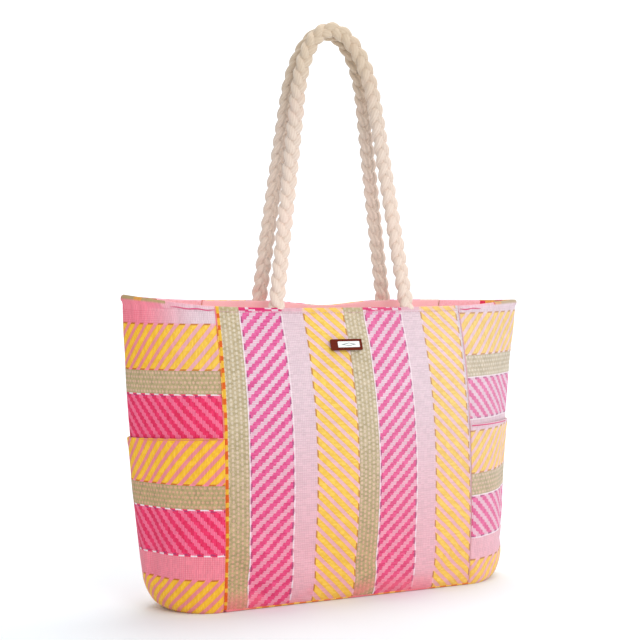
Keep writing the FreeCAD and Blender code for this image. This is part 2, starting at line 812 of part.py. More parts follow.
def pull_axis_height():
    top = dim("coil_thickness") / 2 + dim("slider_clearance") + dim("slider_plate")
    return top + (dim("bail_height") - dim("bail_bar")) / 2


def make_pull():
    """Flat pull whose end bar passes under the slider's arch; it lies towards -X at rest."""
    body = new_body("zip_pull")
    plan = new_sketch(body, "pull_plan", "XY_Plane")
    rectangle(
        plan,
        "Dimensions.pull_length",
        "Dimensions.pull_width",
        centre_x="Dimensions.pull_bar / 2 - Dimensions.pull_length / 2",
    )
    rectangle(
        plan,
        "Dimensions.pull_window_length",
        "Dimensions.pull_window_width",
        centre_x="0 - Dimensions.pull_bar / 2 - Dimensions.pull_window_length / 2",
    )
    plate = pad(body, plan, "pull_plate", "Dimensions.pull_thickness", midplane=True)
    doc.recompute()
    far = min(v.X for v in plate.Shape.Vertexes)
    round_end = fillet_edges(
        body,
        plate,
        "pull_round_end",
        "Dimensions.pull_end_round",
        lambda e: is_along(e, "z") and abs(e.BoundBox.XMin - far) < 0.01,
    )
    doc.recompute()
    near = max(v.X for v in round_end.Shape.Vertexes)
    fillet_edges(
        body,
        round_end,
        "pull_round_bar",
        "Dimensions.pull_bar_round",
        lambda e: is_along(e, "y") and abs(e.BoundBox.XMax - near) < 0.01,
    )
    body.Placement.Base = V(dim("slider_rest"), 0, dim("zip_height") + pull_axis_height())


# ---------------------------------------------------------------- label


def make_label():
    x, z = dim("label_side"), dim("label_level")
    half = dim("label_height") / 2
    low = panel_point(-1, x, z - half, 0.0)
    high = panel_point(-1, x, z + half, 0.0)
    lean = math.degrees(math.atan2(high.y - low.y, high.z - low.z))
    half_width = dim("label_width") / 2
    across = panel_point(-1, x + half_width, z, 0.0) - panel_point(-1, x - half_width, z, 0.0)
    yaw = math.degrees(math.atan2(across.y, across.x))
    turn = FreeCAD.Rotation(V(0, 0, 1), yaw).multiply(FreeCAD.Rotation(V(1, 0, 0), -lean))
    outward = turn.multVec(V(0, -1, 0))
    at = panel_point(-1, x, z, 0.0) + outward * dim("label_gap")

    patch = new_body("label_patch")
    face = new_sketch(patch, "patch_face", "XZ_Plane")
    rectangle(face, "Dimensions.label_width", "Dimensions.label_height")
    block = pad(patch, face, "patch_block", "Dimensions.label_thickness")
    fillet_edges(patch, block, "patch_corners", "Dimensions.label_corner", lambda e: is_along(e, "y"))
    patch.Placement = FreeCAD.Placement(at, turn)

    plate = new_body("label_plate")
    face = new_sketch(plate, "plate_face", "XZ_Plane")
    rectangle(face, "Dimensions.plate_width", "Dimensions.plate_height", centre_x="Dimensions.plate_side")
    block = pad(plate, face, "plate_block", "Dimensions.plate_thickness")
    fillet_edges(plate, block, "plate_corners", "Dimensions.plate_corner", lambda e: is_along(e, "y"))
    plate.Placement = FreeCAD.Placement(at + outward * (dim("label_thickness") + dim("plate_gap")), turn)


# ---------------------------------------------------------------- build and write

NODES = [
    "front_panel",
    "back_panel",
    "left_gusset",
    "right_gusset",
    "base_panel",
    "left_side_pocket",
    "right_side_pocket",
    "front_facing",
    "back_facing",
    "left_facing",
    "right_facing",
    "lining",
    "inner_pocket",
    "front_handle_ends",
    "front_handle_legs",
    "front_handle_loop",
    "back_handle_ends",
    "back_handle_legs",
    "back_handle_loop",
    "zip_panel_front",
    "zip_panel_back",
    "zip_tape_front",
    "zip_tape_back",
    "zip_coil_front",
    "zip_coil_back",
    "zip_end_left",
    "zip_end_right",
    "zip_end_coils",
    "zip_stops",
    "zip_slider",
    "zip_pull",
    "label_patch",
    "label_plate",
]

make_panels()
make_gussets()
make_pockets()
make_base()
make_lining()
make_inner_pocket()
make_facings()
make_handle("front_handle", -1)
make_handle("back_handle", 1)
make_flaps()
make_zip_ends()
make_slider()
make_pull()
make_label()
doc.recompute()

for item in doc.Objects:
    if "Invalid" in item.State or "Error" in item.State:
        raise RuntimeError(f"{item.Name} failed: {item.State}")

os.makedirs("parts", exist_ok=True)
for node in NODES:
    piece = doc.getObjectsByLabel(node)[0]
    shape = piece.Shape
    if shape.isNull() or not shape.isValid():
        raise RuntimeError(f"{node} has no valid shape")
    if not shape.Solids or min(s.Volume for s in shape.Solids) <= 0:
        raise RuntimeError(f"{node} holds no solid")
    shape.exportStep(f"parts/{node}.step")
print("wrote", len(NODES), "parts")
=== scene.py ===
import json
import math
from functools import partialmethod

import bpy
import numpy as np
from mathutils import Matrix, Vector, noise


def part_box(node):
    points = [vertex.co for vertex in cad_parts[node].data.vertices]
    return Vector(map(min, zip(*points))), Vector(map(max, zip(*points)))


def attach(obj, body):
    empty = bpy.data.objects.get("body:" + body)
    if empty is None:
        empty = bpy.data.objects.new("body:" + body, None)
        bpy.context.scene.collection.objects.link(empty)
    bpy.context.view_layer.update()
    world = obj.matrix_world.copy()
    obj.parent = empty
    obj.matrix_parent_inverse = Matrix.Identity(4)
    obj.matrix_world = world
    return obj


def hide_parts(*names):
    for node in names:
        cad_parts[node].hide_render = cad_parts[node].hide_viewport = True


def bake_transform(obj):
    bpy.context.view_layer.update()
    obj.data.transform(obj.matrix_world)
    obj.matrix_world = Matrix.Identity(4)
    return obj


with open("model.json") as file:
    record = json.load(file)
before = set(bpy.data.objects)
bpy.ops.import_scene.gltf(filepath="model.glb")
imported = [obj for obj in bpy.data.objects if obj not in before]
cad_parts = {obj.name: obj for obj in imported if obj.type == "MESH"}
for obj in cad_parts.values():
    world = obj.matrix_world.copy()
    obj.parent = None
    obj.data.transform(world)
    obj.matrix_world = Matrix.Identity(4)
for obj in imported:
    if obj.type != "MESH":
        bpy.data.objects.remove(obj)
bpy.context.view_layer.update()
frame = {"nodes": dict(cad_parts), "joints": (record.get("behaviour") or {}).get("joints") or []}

# ---------------------------------------------------------------- sizes, in metres

MM = 0.001
CLOTH = 1.6 * MM  # thickness of the woven cloth
HEIGHT = 356 * MM  # nominal wall height that the curves run over
SEAM_X = 167 * MM  # the upright seams between panels and gussets
TIP_X = 271 * MM  # the side tips of the rim
BAND = 27 * MM  # height of the facing inside the rim
RIM_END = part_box("left_gusset")[1].z
POCKET_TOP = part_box("left_side_pocket")[1].z
JOINT_AT = {joint["name"]: joint["pos_m"] for joint in frame["joints"] if "pos_m" in joint}
WALLS = (("front", -1), ("back", 1))
HANDS = (("left", -1), ("right", 1))

# half depth of the bag at its seams, what it loses towards the rim and at the foot
SEAM_DEPTH, RIM_LEAN, FOOT_TUCK, FOOT_FADE = 60 * MM, 34 * MM, 10 * MM, 52 * MM
# how far a panel bulges past its seams: half way up, and at the rim
BELLY, RIM_BELLY = 17 * MM, 4 * MM
# where a gusset's fold lies: at the foot, its flare up to the rim, and its sway in between
FOLD_FOOT, FOLD_FLARE, FOLD_SWAY = 234.5 * MM, 36.5 * MM, 5 * MM
# the round lower corner at the fold: how far it tucks in, its height, and the share of a quarter turn
CORNER_TUCK, CORNER_HEIGHT, CORNER_TURN = 18 * MM, 44 * MM, 0.95


def as_floats(*values):
    return [np.asarray(v, float) for v in values]


def unit(vectors):
    return vectors / np.linalg.norm(vectors, axis=-1, keepdims=True)


# ---------------------------------------------------------------- wall shape, as in the frame


def level(z):
    return np.clip(z / HEIGHT, 0.0, 1.1)


def seam_depth(z):
    lean = np.minimum(level(z), 1.04) ** 3.8
    return SEAM_DEPTH - RIM_LEAN * lean - FOOT_TUCK * np.exp(-z / FOOT_FADE)


def bulge(z):
    swell = np.maximum(np.sin(np.pi * np.minimum(level(z), 1.0)), 0.0)
    return BELLY * swell + RIM_BELLY * level(z)


def fold_x(side, z):
    """Distance from the middle of the bag to a gusset's fold."""
    height = np.minimum(level(z), 1.0)
    sway = side * FOLD_SWAY * 4 * height * (1 - height)
    below = CORNER_TURN * np.maximum(0.0, 1 - z / CORNER_HEIGHT)
    tuck = CORNER_TUCK * (1 - np.sqrt(1 - below**2)) / (1 - math.sqrt(1 - CORNER_TURN**2))
    return FOLD_FOOT + FOLD_FLARE * height - sway - tuck


def panel_point(side, x, z, inset):
    """Points of the front (side -1) or back (side 1) panel."""
    x, z, inset = as_floats(x, z, inset)
    y = seam_depth(z) - inset + bulge(z) * (1 - (x / SEAM_X) ** 2)
    return np.stack(np.broadcast_arrays(x, side * y, z), -1)


def gusset_point(side, turn, z, inset):
    """Points of the left (side -1) or right (side 1) gusset; turn runs from -1 in front to 1 at the back."""
    turn, z, inset = as_floats(turn, z, inset)
    depth = seam_depth(z)
    reach = fold_x(side, z) - SEAM_X
    reach = reach - 0.85 * inset * np.hypot(reach, depth) / depth
    height = np.minimum(level(z), 1.0)
    power = 1.0 + height * (0.2 + 0.4 * np.sin(np.pi * height))
    angle = (1 - np.abs(turn)) * np.pi / 2
    x = SEAM_X + reach * np.sin(angle) ** power
    y = np.sign(turn) * (depth - inset) * np.maximum(np.cos(angle), 0.0) ** power
    return np.stack(np.broadcast_arrays(side * x, y, z), -1)


def front_rim(x):
    rise = (10.5 - 4 * np.sign(x)) * MM
    return 354 * MM + rise * (np.abs(x) / TIP_X) ** 3.3


def back_rim(x):
    dip = 6.5 * MM * np.exp(-((x / (48 * MM)) ** 2))
    rise = (1.0 - 4 * np.sign(x)) * MM
    return 363.5 * MM - dip + rise * (np.abs(x) / TIP_X) ** 4


RIM_LINES = {-1: front_rim, 1: back_rim}


def rim_at(x, y):
    """Height of the rim, which passes from the front line to the back line across the sides."""
    share = np.clip(0.5 + y / (52 * MM), 0.0, 1.0)
    return front_rim(x) * (1 - share) + back_rim(x) * share


def gusset_rim(side, turn):
    at = gusset_point(side, turn, HEIGHT, 0.0)
    return rim_at(at[..., 0], at[..., 1])


# ---------------------------------------------------------------- meshes


def new_mesh(name, verts, faces, uvs=None, smooth=True):
    """Mesh object; uvs holds one (u, v) per vertex, in metres of cloth."""
    mesh = bpy.data.meshes.new(name)
    mesh.from_pydata([tuple(v) for v in verts], [], [tuple(f) for f in faces])
    if uvs is not None:
        layer = mesh.uv_layers.new(name="cloth")
        loops = np.zeros(len(mesh.loops), int)
        mesh.loops.foreach_get("vertex_index", loops)
        layer.data.foreach_set("uv", np.asarray(uvs, float)[loops].ravel())
    mesh.polygons.foreach_set("use_smooth", [smooth] * len(mesh.polygons))
    mesh.update()
    piece = bpy.data.objects.new(name, mesh)
    bpy.context.scene.collection.objects.link(piece)
    return piece


def turned(faces, flip=True):
    return [face[::-1] for face in faces] if flip else faces


def down_rows(low, high, rows, columns):
    """Grid of numbers that runs from low in its first row to high in its last."""
    return np.linspace(low, high, rows)[:, None] * np.ones((1, columns))


def over_columns(low, high, rows, columns):
    """Grid of numbers that runs from low in its first column to high in its last."""
    return np.linspace(low, high, columns)[None, :] * np.ones((rows, 1))


def grid_faces(rows, columns, flip=False):
    faces = []
    for i in range(rows - 1):
        for j in range(columns - 1):
            a = i * columns + j
            faces.append((a, a + columns, a + columns + 1, a + 1))
    return turned(faces, flip)


def ring_faces(count, sides):
    """Faces that join closed rings of points, each to the next."""
    faces = []
    for i in range(count - 1):
        a, b = i * sides, (i + 1) * sides
        for j in range(sides):
            k = (j + 1) % sides
            faces.append((a + j, a + k, b + k, b + j))
    return faces


def cap_faces(count, sides):
    """Faces that close the first and the last ring."""
    last = (count - 1) * sides
    return [tuple(range(sides))[::-1], tuple(last + j for j in range(sides))]


def shell(name, outer, inner, uv, flip=False, roll=3):
    """Closed cloth from an outer and an inner grid of points, rolled over at the last column."""
    edge_out, edge_in = outer[:, -1], inner[:, -1]
    centre = (edge_out + edge_in) / 2
    rise = unit(edge_out - outer[:, -2])
    radius = np.linalg.norm(edge_out - edge_in, axis=1, keepdims=True) / 2
    arcs = []
    for k in range(1, roll + 1):
        angle = math.pi * k / (roll + 1)
        arcs.append(centre + (edge_out - centre) * math.cos(angle) + rise * radius * math.sin(angle))
    rows = np.concatenate([outer, np.stack(arcs, 1), inner[:, ::-1]], axis=1)
    uvs = np.concatenate([uv, np.repeat(uv[:, -1:], roll, axis=1), uv[:, ::-1]], axis=1)
    count, length = rows.shape[:2]
    faces = grid_faces(count, length)
    for j in range((length - 1) // 2):
        for i, last in ((0, False), (count - 1, True)):
            near, far = i * length + j, (i + 1) * length - 1 - j
            faces += turned([(near, near + 1, far - 1, far)], last)
    for i in range(count - 1):
        a, b = i * length, (i + 1) * length
        faces.append((a, b - 1, b + length - 1, b))
    return new_mesh(name, rows.reshape(-1, 3), turned(faces, flip), uvs.reshape(-1, 2))


def frames_along(path, across_hint):
    """Across and depth directions at each point of a path; across leans towards the hint."""
    tangent = unit(np.gradient(np.asarray(path, float), axis=0))
    hint = np.broadcast_to(np.asarray(across_hint, float), tangent.shape)
    depth = unit(np.cross(tangent, hint))
    return np.cross(depth, tangent), depth


def lengths_along(path):
    """Distance from a path's start to each of its points."""
    return np.concatenate([[0], np.cumsum(np.linalg.norm(np.diff(path, axis=0), axis=-1))])


def tube(path, across, depth, half_across, half_depth, sides=10):
    """Vertices, faces and uvs of a capped tube; the half sizes may vary along the path."""
    count = len(path)
    angles = np.linspace(0, 2 * np.pi, sides, endpoint=False)
    half_across = np.broadcast_to(np.asarray(half_across, float), (count,))
    half_depth = np.broadcast_to(np.asarray(half_depth, float), (count,))
    ring = across[:, None] * (np.cos(angles)[None, :] * half_across[:, None])[..., None]
    ring = ring + depth[:, None] * (np.sin(angles)[None, :] * half_depth[:, None])[..., None]
    verts = (path[:, None] + ring).reshape(-1, 3)
    uvs = np.stack(np.broadcast_arrays(angles[None, :] / (2 * np.pi), lengths_along(path)[:, None]), -1)
    return verts, ring_faces(count, sides) + cap_faces(count, sides), uvs.reshape(-1, 2)


class Parts:
    """Collects several meshes into one piece."""

    def __init__(self):
        self.verts, self.faces, self.uvs, self.count = [], [], [], 0

    def add(self, verts, faces, uvs):
        self.verts.append(np.asarray(verts, float))
        self.uvs.append(np.asarray(uvs, float))
        self.faces += [tuple(i + self.count for i in f) for f in faces]
        self.count += len(verts)

    def piece(self, name, smooth=True):
        return new_mesh(name, np.concatenate(self.verts), self.faces, np.concatenate(self.uvs), smooth)


def ripple(points, scale, seed):
    """Smooth noise from -1 to 1 at each point; scale is the size of its swells in metres."""
    shift = Vector((seed * 7.3, seed * 3.1, seed * 5.7))
    values = [noise.noise(Vector(p) / scale + shift) for p in points.reshape(-1, 3)]
    return np.array(values).reshape(points.shape[:-1])


# ---------------------------------------------------------------- cloth that settles

SETTLE_FRAMES = 24
SPARE_LENGTH = 0.012  # share of extra length that lets the cloth sag between its seams
SAG_OUT, SAG_IN = 3.0 * MM, 1.3 * MM  # the farthest the cloth may move either way
FOOT_SHARE, HEM_SHARE = 0.02, 0.90  # heights, as shares, where the sewn foot ends and the hem begins
STRAW_CLOTH = {
    "quality": 6,
    "mass": 0.25,
    "tension_stiffness": 30,
    "compression_stiffness": 30,
    "shear_stiffness": 15,
    "bending_stiffness": 6,
    "air_damping": 3,
    "shrink_min": -SPARE_LENGTH,
    "vertex_group_mass": "sewn",
    "pin_stiffness": 1.0,
}


def spread_grid(grid, rows, columns):
    """Bilinear resampling of a grid of numbers to another number of rows and columns."""
    at_row = np.linspace(0, grid.shape[0] - 1, rows)
    at_column = np.linspace(0, grid.shape[1] - 1, columns)
    wide = np.stack([np.interp(at_column, np.arange(grid.shape[1]), line) for line in grid])
    return np.stack([np.interp(at_row, np.arange(grid.shape[0]), line) for line in wide.T], 1)


def simulate(name, points, hold):
    """Where each point of a cloth grid comes to rest; hold is 1 where the cloth is sewn down."""
    piece = new_mesh(name, points.reshape(-1, 3), grid_faces(*points.shape[:2]))
    group = piece.vertex_groups.new(name="sewn")
    for index, weight in enumerate(hold.ravel()):
        if weight > 0:
            group.add([index], float(weight), "REPLACE")
    modifier = piece.modifiers.new("cloth", "CLOTH")
    for setting, value in STRAW_CLOTH.items():
        setattr(modifier.settings, setting, value)
    modifier.collision_settings.use_collision = False
    modifier.point_cache.frame_start = 1
    modifier.point_cache.frame_end = SETTLE_FRAMES
    for step in range(1, SETTLE_FRAMES + 1):
        bpy.context.scene.frame_set(step)
    evaluated = piece.evaluated_get(bpy.context.evaluated_depsgraph_get())
    moved = np.zeros(points.size)
    evaluated.data.vertices.foreach_get("co", moved)
    bpy.context.scene.frame_set(1)
    bpy.data.objects.remove(piece)
    return moved.reshape(points.shape)


def settle(name, points, hold):
    """How far each point of a wall moves outwards as its cloth settles, within the limits."""
    normal = unit(np.cross(np.gradient(points, axis=0), np.gradient(points, axis=1)))
    normal *= np.sign((normal * points * [1, 1, 0]).sum(2, keepdims=True))
    out = ((simulate(name, points, hold) - points) * normal).sum(2)
    return np.where(out > 0, SAG_OUT * np.tanh(out / SAG_OUT), SAG_IN * np.tanh(out / SAG_IN))


def sewn_edges(across, height, seam_share):
    """Hold weights of a wall: sewn at its foot and seams, and stiffened by the hem at the rim."""
    foot = height <= FOOT_SHARE
    seams = np.abs(across) >= 1 - seam_share
    rim = np.clip((height - HEM_SHARE) / (1 - HEM_SHARE), 0, 1)
    return np.maximum(np.where(foot | seams, 1.0, 0.0), rim)


# ---------------------------------------------------------------- shader tools


def feed(slot_in, value):
    """Link a Val or a socket to a node's input, or set the input to a plain value."""
    if isinstance(value, Val):
        value = value.socket
    if isinstance(value, bpy.types.NodeSocket):
        slot_in.id_data.links.new(value, slot_in)
    else:
        slot_in.default_value = value


class Val:
    """A number in a shader tree, with arithmetic that adds Math nodes."""

    def __init__(self, socket):
        self.socket = socket

    def op(self, kind, *others):
        node = self.socket.id_data.nodes.new("ShaderNodeMath")
        node.operation = kind
        for slot_in, value in zip(node.inputs, (self,) + others):
            feed(slot_in, value)
        return Val(node.outputs[0])

    __add__ = partialmethod(op, "ADD")
    __sub__ = partialmethod(op, "SUBTRACT")
    __mul__ = partialmethod(op, "MULTIPLY")
    __truediv__ = partialmethod(op, "DIVIDE")
    fract = partialmethod(op, "FRACT")
    floor = partialmethod(op, "FLOOR")
    less = partialmethod(op, "LESS_THAN")
    more = partialmethod(op, "GREATER_THAN")
    sine = partialmethod(op, "SINE")
    absolute = partialmethod(op, "ABSOLUTE")
    maximum = partialmethod(op, "MAXIMUM")

    def invert(self):
        return (self * -1.0) + 1.0

    def wave(self):
        """0 to 1 and back, once per whole number."""
        return (self * (2 * math.pi)).sine() * 0.5 + 0.5

    def soft(self, low, high):
        """0 at low, 1 at high, smooth between."""
        node = self.socket.id_data.nodes.new("ShaderNodeMapRange")
        node.interpolation_type = "SMOOTHSTEP"
        feed(node.inputs["From Min"], low)
        feed(node.inputs["From Max"], high)
        feed(node.inputs["Value"], self)
        return Val(node.outputs["Result"])


def rgb(red, green, blue):
    """Linear colour from 0-255 screen values."""
    linear = []
    for value in (red, green, blue):
        c = value / 255
        linear.append(c / 12.92 if c <= 0.04045 else ((c + 0.055) / 1.055) ** 2.4)
    return (*linear, 1.0)


class Finish:
    """A material under construction: coordinates, colour mixing, bump and the surface."""

    def __init__(self, name):
        self.material = bpy.data.materials.new(name)
        self.material.use_nodes = True
        self.surface = self.material.node_tree.nodes["Principled BSDF"]
        self.position = self.node("TexCoord").outputs["Object"]
        self.x, self.y, self.z = self.split(self.position)

    def node(self, kind):
        return self.material.node_tree.nodes.new("ShaderNode" + kind)

    def split(self, vector):
        node = self.node("SeparateXYZ")
        feed(node.inputs[0], vector)
        return [Val(socket) for socket in node.outputs]

    def cloth_coords(self):
        """Millimetres across and along the stripes; on a tube, turns round it times 1000 and mm along it."""
        node = self.node("UVMap")
        node.uv_map = "cloth"
        across, along, _ = self.split(node.outputs[0])
        return across * 1000.0, along * 1000.0

    def attribute(self, name):
        """A number stored on the mesh; 0 where a mesh does not have it."""
        node = self.node("Attribute")
        node.attribute_name = name
        return Val(node.outputs["Fac"])

    def noise(self, scale, detail=2.0, stretch=(1, 1, 1)):
        mapping = self.node("Mapping")
        feed(mapping.inputs["Scale"], stretch)
        feed(mapping.inputs[0], self.position)
        node = self.node("TexNoise")
        feed(node.inputs["Scale"], scale)
        feed(node.inputs["Detail"], detail)
        feed(node.inputs["Vector"], mapping.outputs[0])
        return Val(node.outputs["Fac"])

    def random(self, a, b):
        """A random number per pair of whole numbers."""
        join = self.node("CombineXYZ")
        feed(join.inputs[0], a)
        feed(join.inputs[1], b)
        node = self.node("TexWhiteNoise")
        node.noise_dimensions = "2D"
        feed(node.inputs["Vector"], join.outputs[0])
        return Val(node.outputs["Value"])

    def mix(self, first, second, share):
        """Colour first where share is 0, second where it is 1; either may be a socket or a colour."""
        node = self.node("Mix")
        node.data_type = "RGBA"
        colours = {slot_in.name: slot_in for slot_in in node.inputs if slot_in.type == "RGBA"}
        feed(colours["A"], first)
        feed(colours["B"], second)
        feed(node.inputs["Factor"], share)
        return [slot_out for slot_out in node.outputs if slot_out.type == "RGBA"][0]

    def shade(self, colour, share, low, high):
        """Colour whose brightness runs from low to high as share runs from 0 to 1."""
        node = self.node("HueSaturation")
        feed(node.inputs["Value"], share * (high - low) + low)
        feed(node.inputs["Color"], colour)
        return node.outputs[0]

    def finish(self, colour, height=None, strength=0.5, distance=0.3 * MM, **settings):
        """The material, given its colour, its bump and further inputs of the Principled node."""
        feed(self.surface.inputs["Base Color"], colour)
        for key, value in settings.items():
            feed(self.surface.inputs[key.replace("_", " ")], value)
        if height is not None:
            bump = self.node("Bump")
            feed(bump.inputs["Strength"], strength)
            feed(bump.inputs["Distance"], distance)
            feed(bump.inputs["Height"], height)
            feed(self.surface.inputs["Normal"], bump.outputs[0])
        return self.material


def cell(value, size):
    """Whole number of the cell that a value falls in."""
    return (value / size).floor()


# ---------------------------------------------------------------- woven cloth
# In these functions f is the Finish, and across and along are mm from the stripe's edge and along it.
# pale is the ground yarn's colour, deepened under painted shade; the shade share runs from 0 in full light to
# 1 under the deepest painted shade, hem_share 1 on a turned edge.
# Each stripe returns its colour and its relief.

REPEAT = 164.0  # mm, one run of the four stripes
FIRST_TAN = 165.5  # mm left of the centre where a tan stripe starts
TAN_END, MAGENTA_END, PINK_END = 27.0, 82.0, 109.0  # mm from the start of the run
TWILL = 16.2  # mm, pitch of the twill bands along the stripe
TWILL_SLOPE = 0.97  # climb of a band per mm across
PICK = 2.0  # mm, one row of weft
FLOAT_PITCH = 5.4  # mm between the pale floats of the tan stripe
HEM_CORNER = 0.226  # m from the centre; past it the turned edges are made of coloured blocks


def magenta_stripe(f, across, along, thread, pale, painted_shade, hem_share):
    """Twill rising to the right in steps of one row of weft, with a white border and dark band ends."""
    half = (MAGENTA_END - TAN_END) / 2
    row = cell(along, PICK)
    jitter = (f.random(row, cell(across, 9.0)) - 0.5) * 0.02
    alternate = ((row * 0.5).fract() - 0.25) * 0.14
    phase = ((row * PICK - across * TWILL_SLOPE) / TWILL + 0.35 + jitter + alternate).fract()
    band = phase.less(0.53)
    in_row = ((along / PICK).fract() - 0.5).absolute()
    gap_line = in_row.soft(0.18, 0.42)
    # Under painted shade the ground, the floats and their gaps take the deeper colour of each pair below.
    shade_line = f.mix(rgb(236, 150, 190), rgb(240, 70, 122), painted_shade)
    ground = f.mix(pale, shade_line, gap_line * 0.55)
    magenta_float = f.mix(rgb(228, 72, 142), rgb(232, 10, 76), painted_shade)
    bright = f.mix(rgb(242, 124, 180), rgb(253, 64, 122), painted_shade)
    colour = f.mix(magenta_float, bright, thread * 0.5 + gap_line * 0.5)
    colour = f.mix(ground, colour, band)
    off_centre = (across - half).absolute()
    border = off_centre.more(half - 1.7) * (painted_shade * phase.less(0.42)).invert()
    colour = f.mix(colour, rgb(252, 232, 238), border)
    end = off_centre.more(half - 3.3) * off_centre.less(half - 1.4) * phase.less(0.40)
    colour = f.mix(colour, rgb(142, 62, 112), end * 0.65)
    crimson = f.random(cell(across, 4.2), cell(along, PICK)).more(0.3)
    edge = f.mix(pale, rgb(226, 36, 112), crimson)
    return f.mix(colour, edge, hem_share), band * 0.8 + gap_line * -0.45


def yellow_stripe(f, across, along, thread, pale, painted_shade, hem_share):
    """Smooth twill falling to the right, with a dash where each band meets the border."""
    half = (REPEAT - PINK_END) / 2
    phase = ((along + across * TWILL_SLOPE) / TWILL).fract()
    off_band = (phase - 0.31).absolute()
    band = off_band.soft(0.335, 0.285)
    # Each colour pair below runs from full light to painted shade.
    gold = f.mix(rgb(250, 194, 66), rgb(252, 178, 18), painted_shade)
    light = f.mix(rgb(250, 214, 104), rgb(255, 202, 50), painted_shade)
    colour = f.mix(gold, light, thread * 0.5 + off_band.soft(0.3, 0.05) * 0.5)
    gap = f.mix(f.mix(rgb(240, 190, 196), rgb(232, 136, 122), painted_shade), pale, 0.35)
    colour = f.mix(gap, colour, band)
    border = (across - half).absolute().more(half - 1.9)
    colour = f.mix(colour, pale, border * phase.more(0.58))
    dash = border * phase.less(0.54) * phase.more(0.03)
    colour = f.mix(colour, f.mix(rgb(203, 138, 72), rgb(206, 108, 30), painted_shade), dash)
    return f.mix(colour, rgb(252, 200, 84), hem_share * 0.45), band * 0.9


def tan_stripe(f, across, along, thread, painted_shade, hem_share):
    """Khaki weave with staggered floats, its flecks pale in full light and coral under painted shade."""
    column = across / FLOAT_PITCH
    shift = (column.floor() * 0.5).fract()
    wide = (column.fract() - 0.5) / 0.27
    tall = ((along / FLOAT_PITCH + shift).fract() - 0.5) / 0.36
    dot = (wide * wide + tall * tall).soft(1.4, 0.6)
    khaki = f.mix(rgb(190, 172, 134), rgb(172, 154, 108), painted_shade)
    colour = f.mix(khaki, f.mix(rgb(208, 190, 158), rgb(196, 170, 122), painted_shade), thread)
    fleck = f.mix(rgb(232, 220, 200), rgb(232, 174, 148), painted_shade)
    colour = f.mix(colour, fleck, dot * 0.75)
    return f.mix(colour, rgb(186, 168, 118), hem_share * 0.5), dot * 0.9


def pink_stripe(f, across, along, pale, painted_shade, hem_share):
    """Plain weave: a fine grid of rows and columns."""
    grid = (across / 2.25).fract().soft(0.0, 0.45) * (along / 2.7).fract().soft(0.0, 0.4)
    # Each colour pair below runs from full light to painted shade; in full light the weave is also paler.
    dark = f.mix(rgb(224, 190, 202), rgb(246, 110, 134), painted_shade)
    light = f.mix(rgb(240, 216, 222), rgb(255, 146, 162), painted_shade)
    colour = f.mix(f.mix(dark, light, grid), pale, painted_shade.invert() * 0.25)
    corner = f.x.absolute().more(HEM_CORNER)
    edge = f.mix(rgb(240, 168, 184), hem_blocks(f, along), corner)
    return f.mix(colour, edge, hem_share * (corner * 0.4 + 0.6)), grid * 0.5


def hem_blocks(f, along):
    """Khaki, crimson and gold blocks along a turned edge."""
    uneven = along + (f.noise(80.0, 1.0) - 0.5) * 8.0
    block = f.random(cell(uneven, 13.0), cell(along, 4000.0))
    colour = f.mix(rgb(186, 158, 112), rgb(222, 44, 86), block.more(0.45))
    return f.mix(colour, rgb(226, 160, 70), block.more(0.8))


def seam_edges(f, colour, s, t):
    """Front panel edges: orange and yellow selvage at the left seam, a pale one at the right seam."""
    past_seam = SEAM_X + 0.2 * MM
    dash = ((t / TWILL + f.noise(25.0, 1.0) * 0.8).fract() + f.z.soft(0.30, 0.05) * 0.35).more(0.62)
    selvage = f.mix(rgb(250, 196, 58), rgb(236, 104, 20), dash)
    left = (f.x * -1.0).more(SEAM_X - 4.2 * MM) * (f.x * -1.0).less(past_seam)
    colour = f.mix(colour, selvage, left)
    right = s.more(2 * REPEAT - FIRST_TAN) * f.x.more(SEAM_X - 7 * MM) * f.x.less(past_seam)
    return f.mix(colour, rgb(230, 214, 224), right * 0.85)


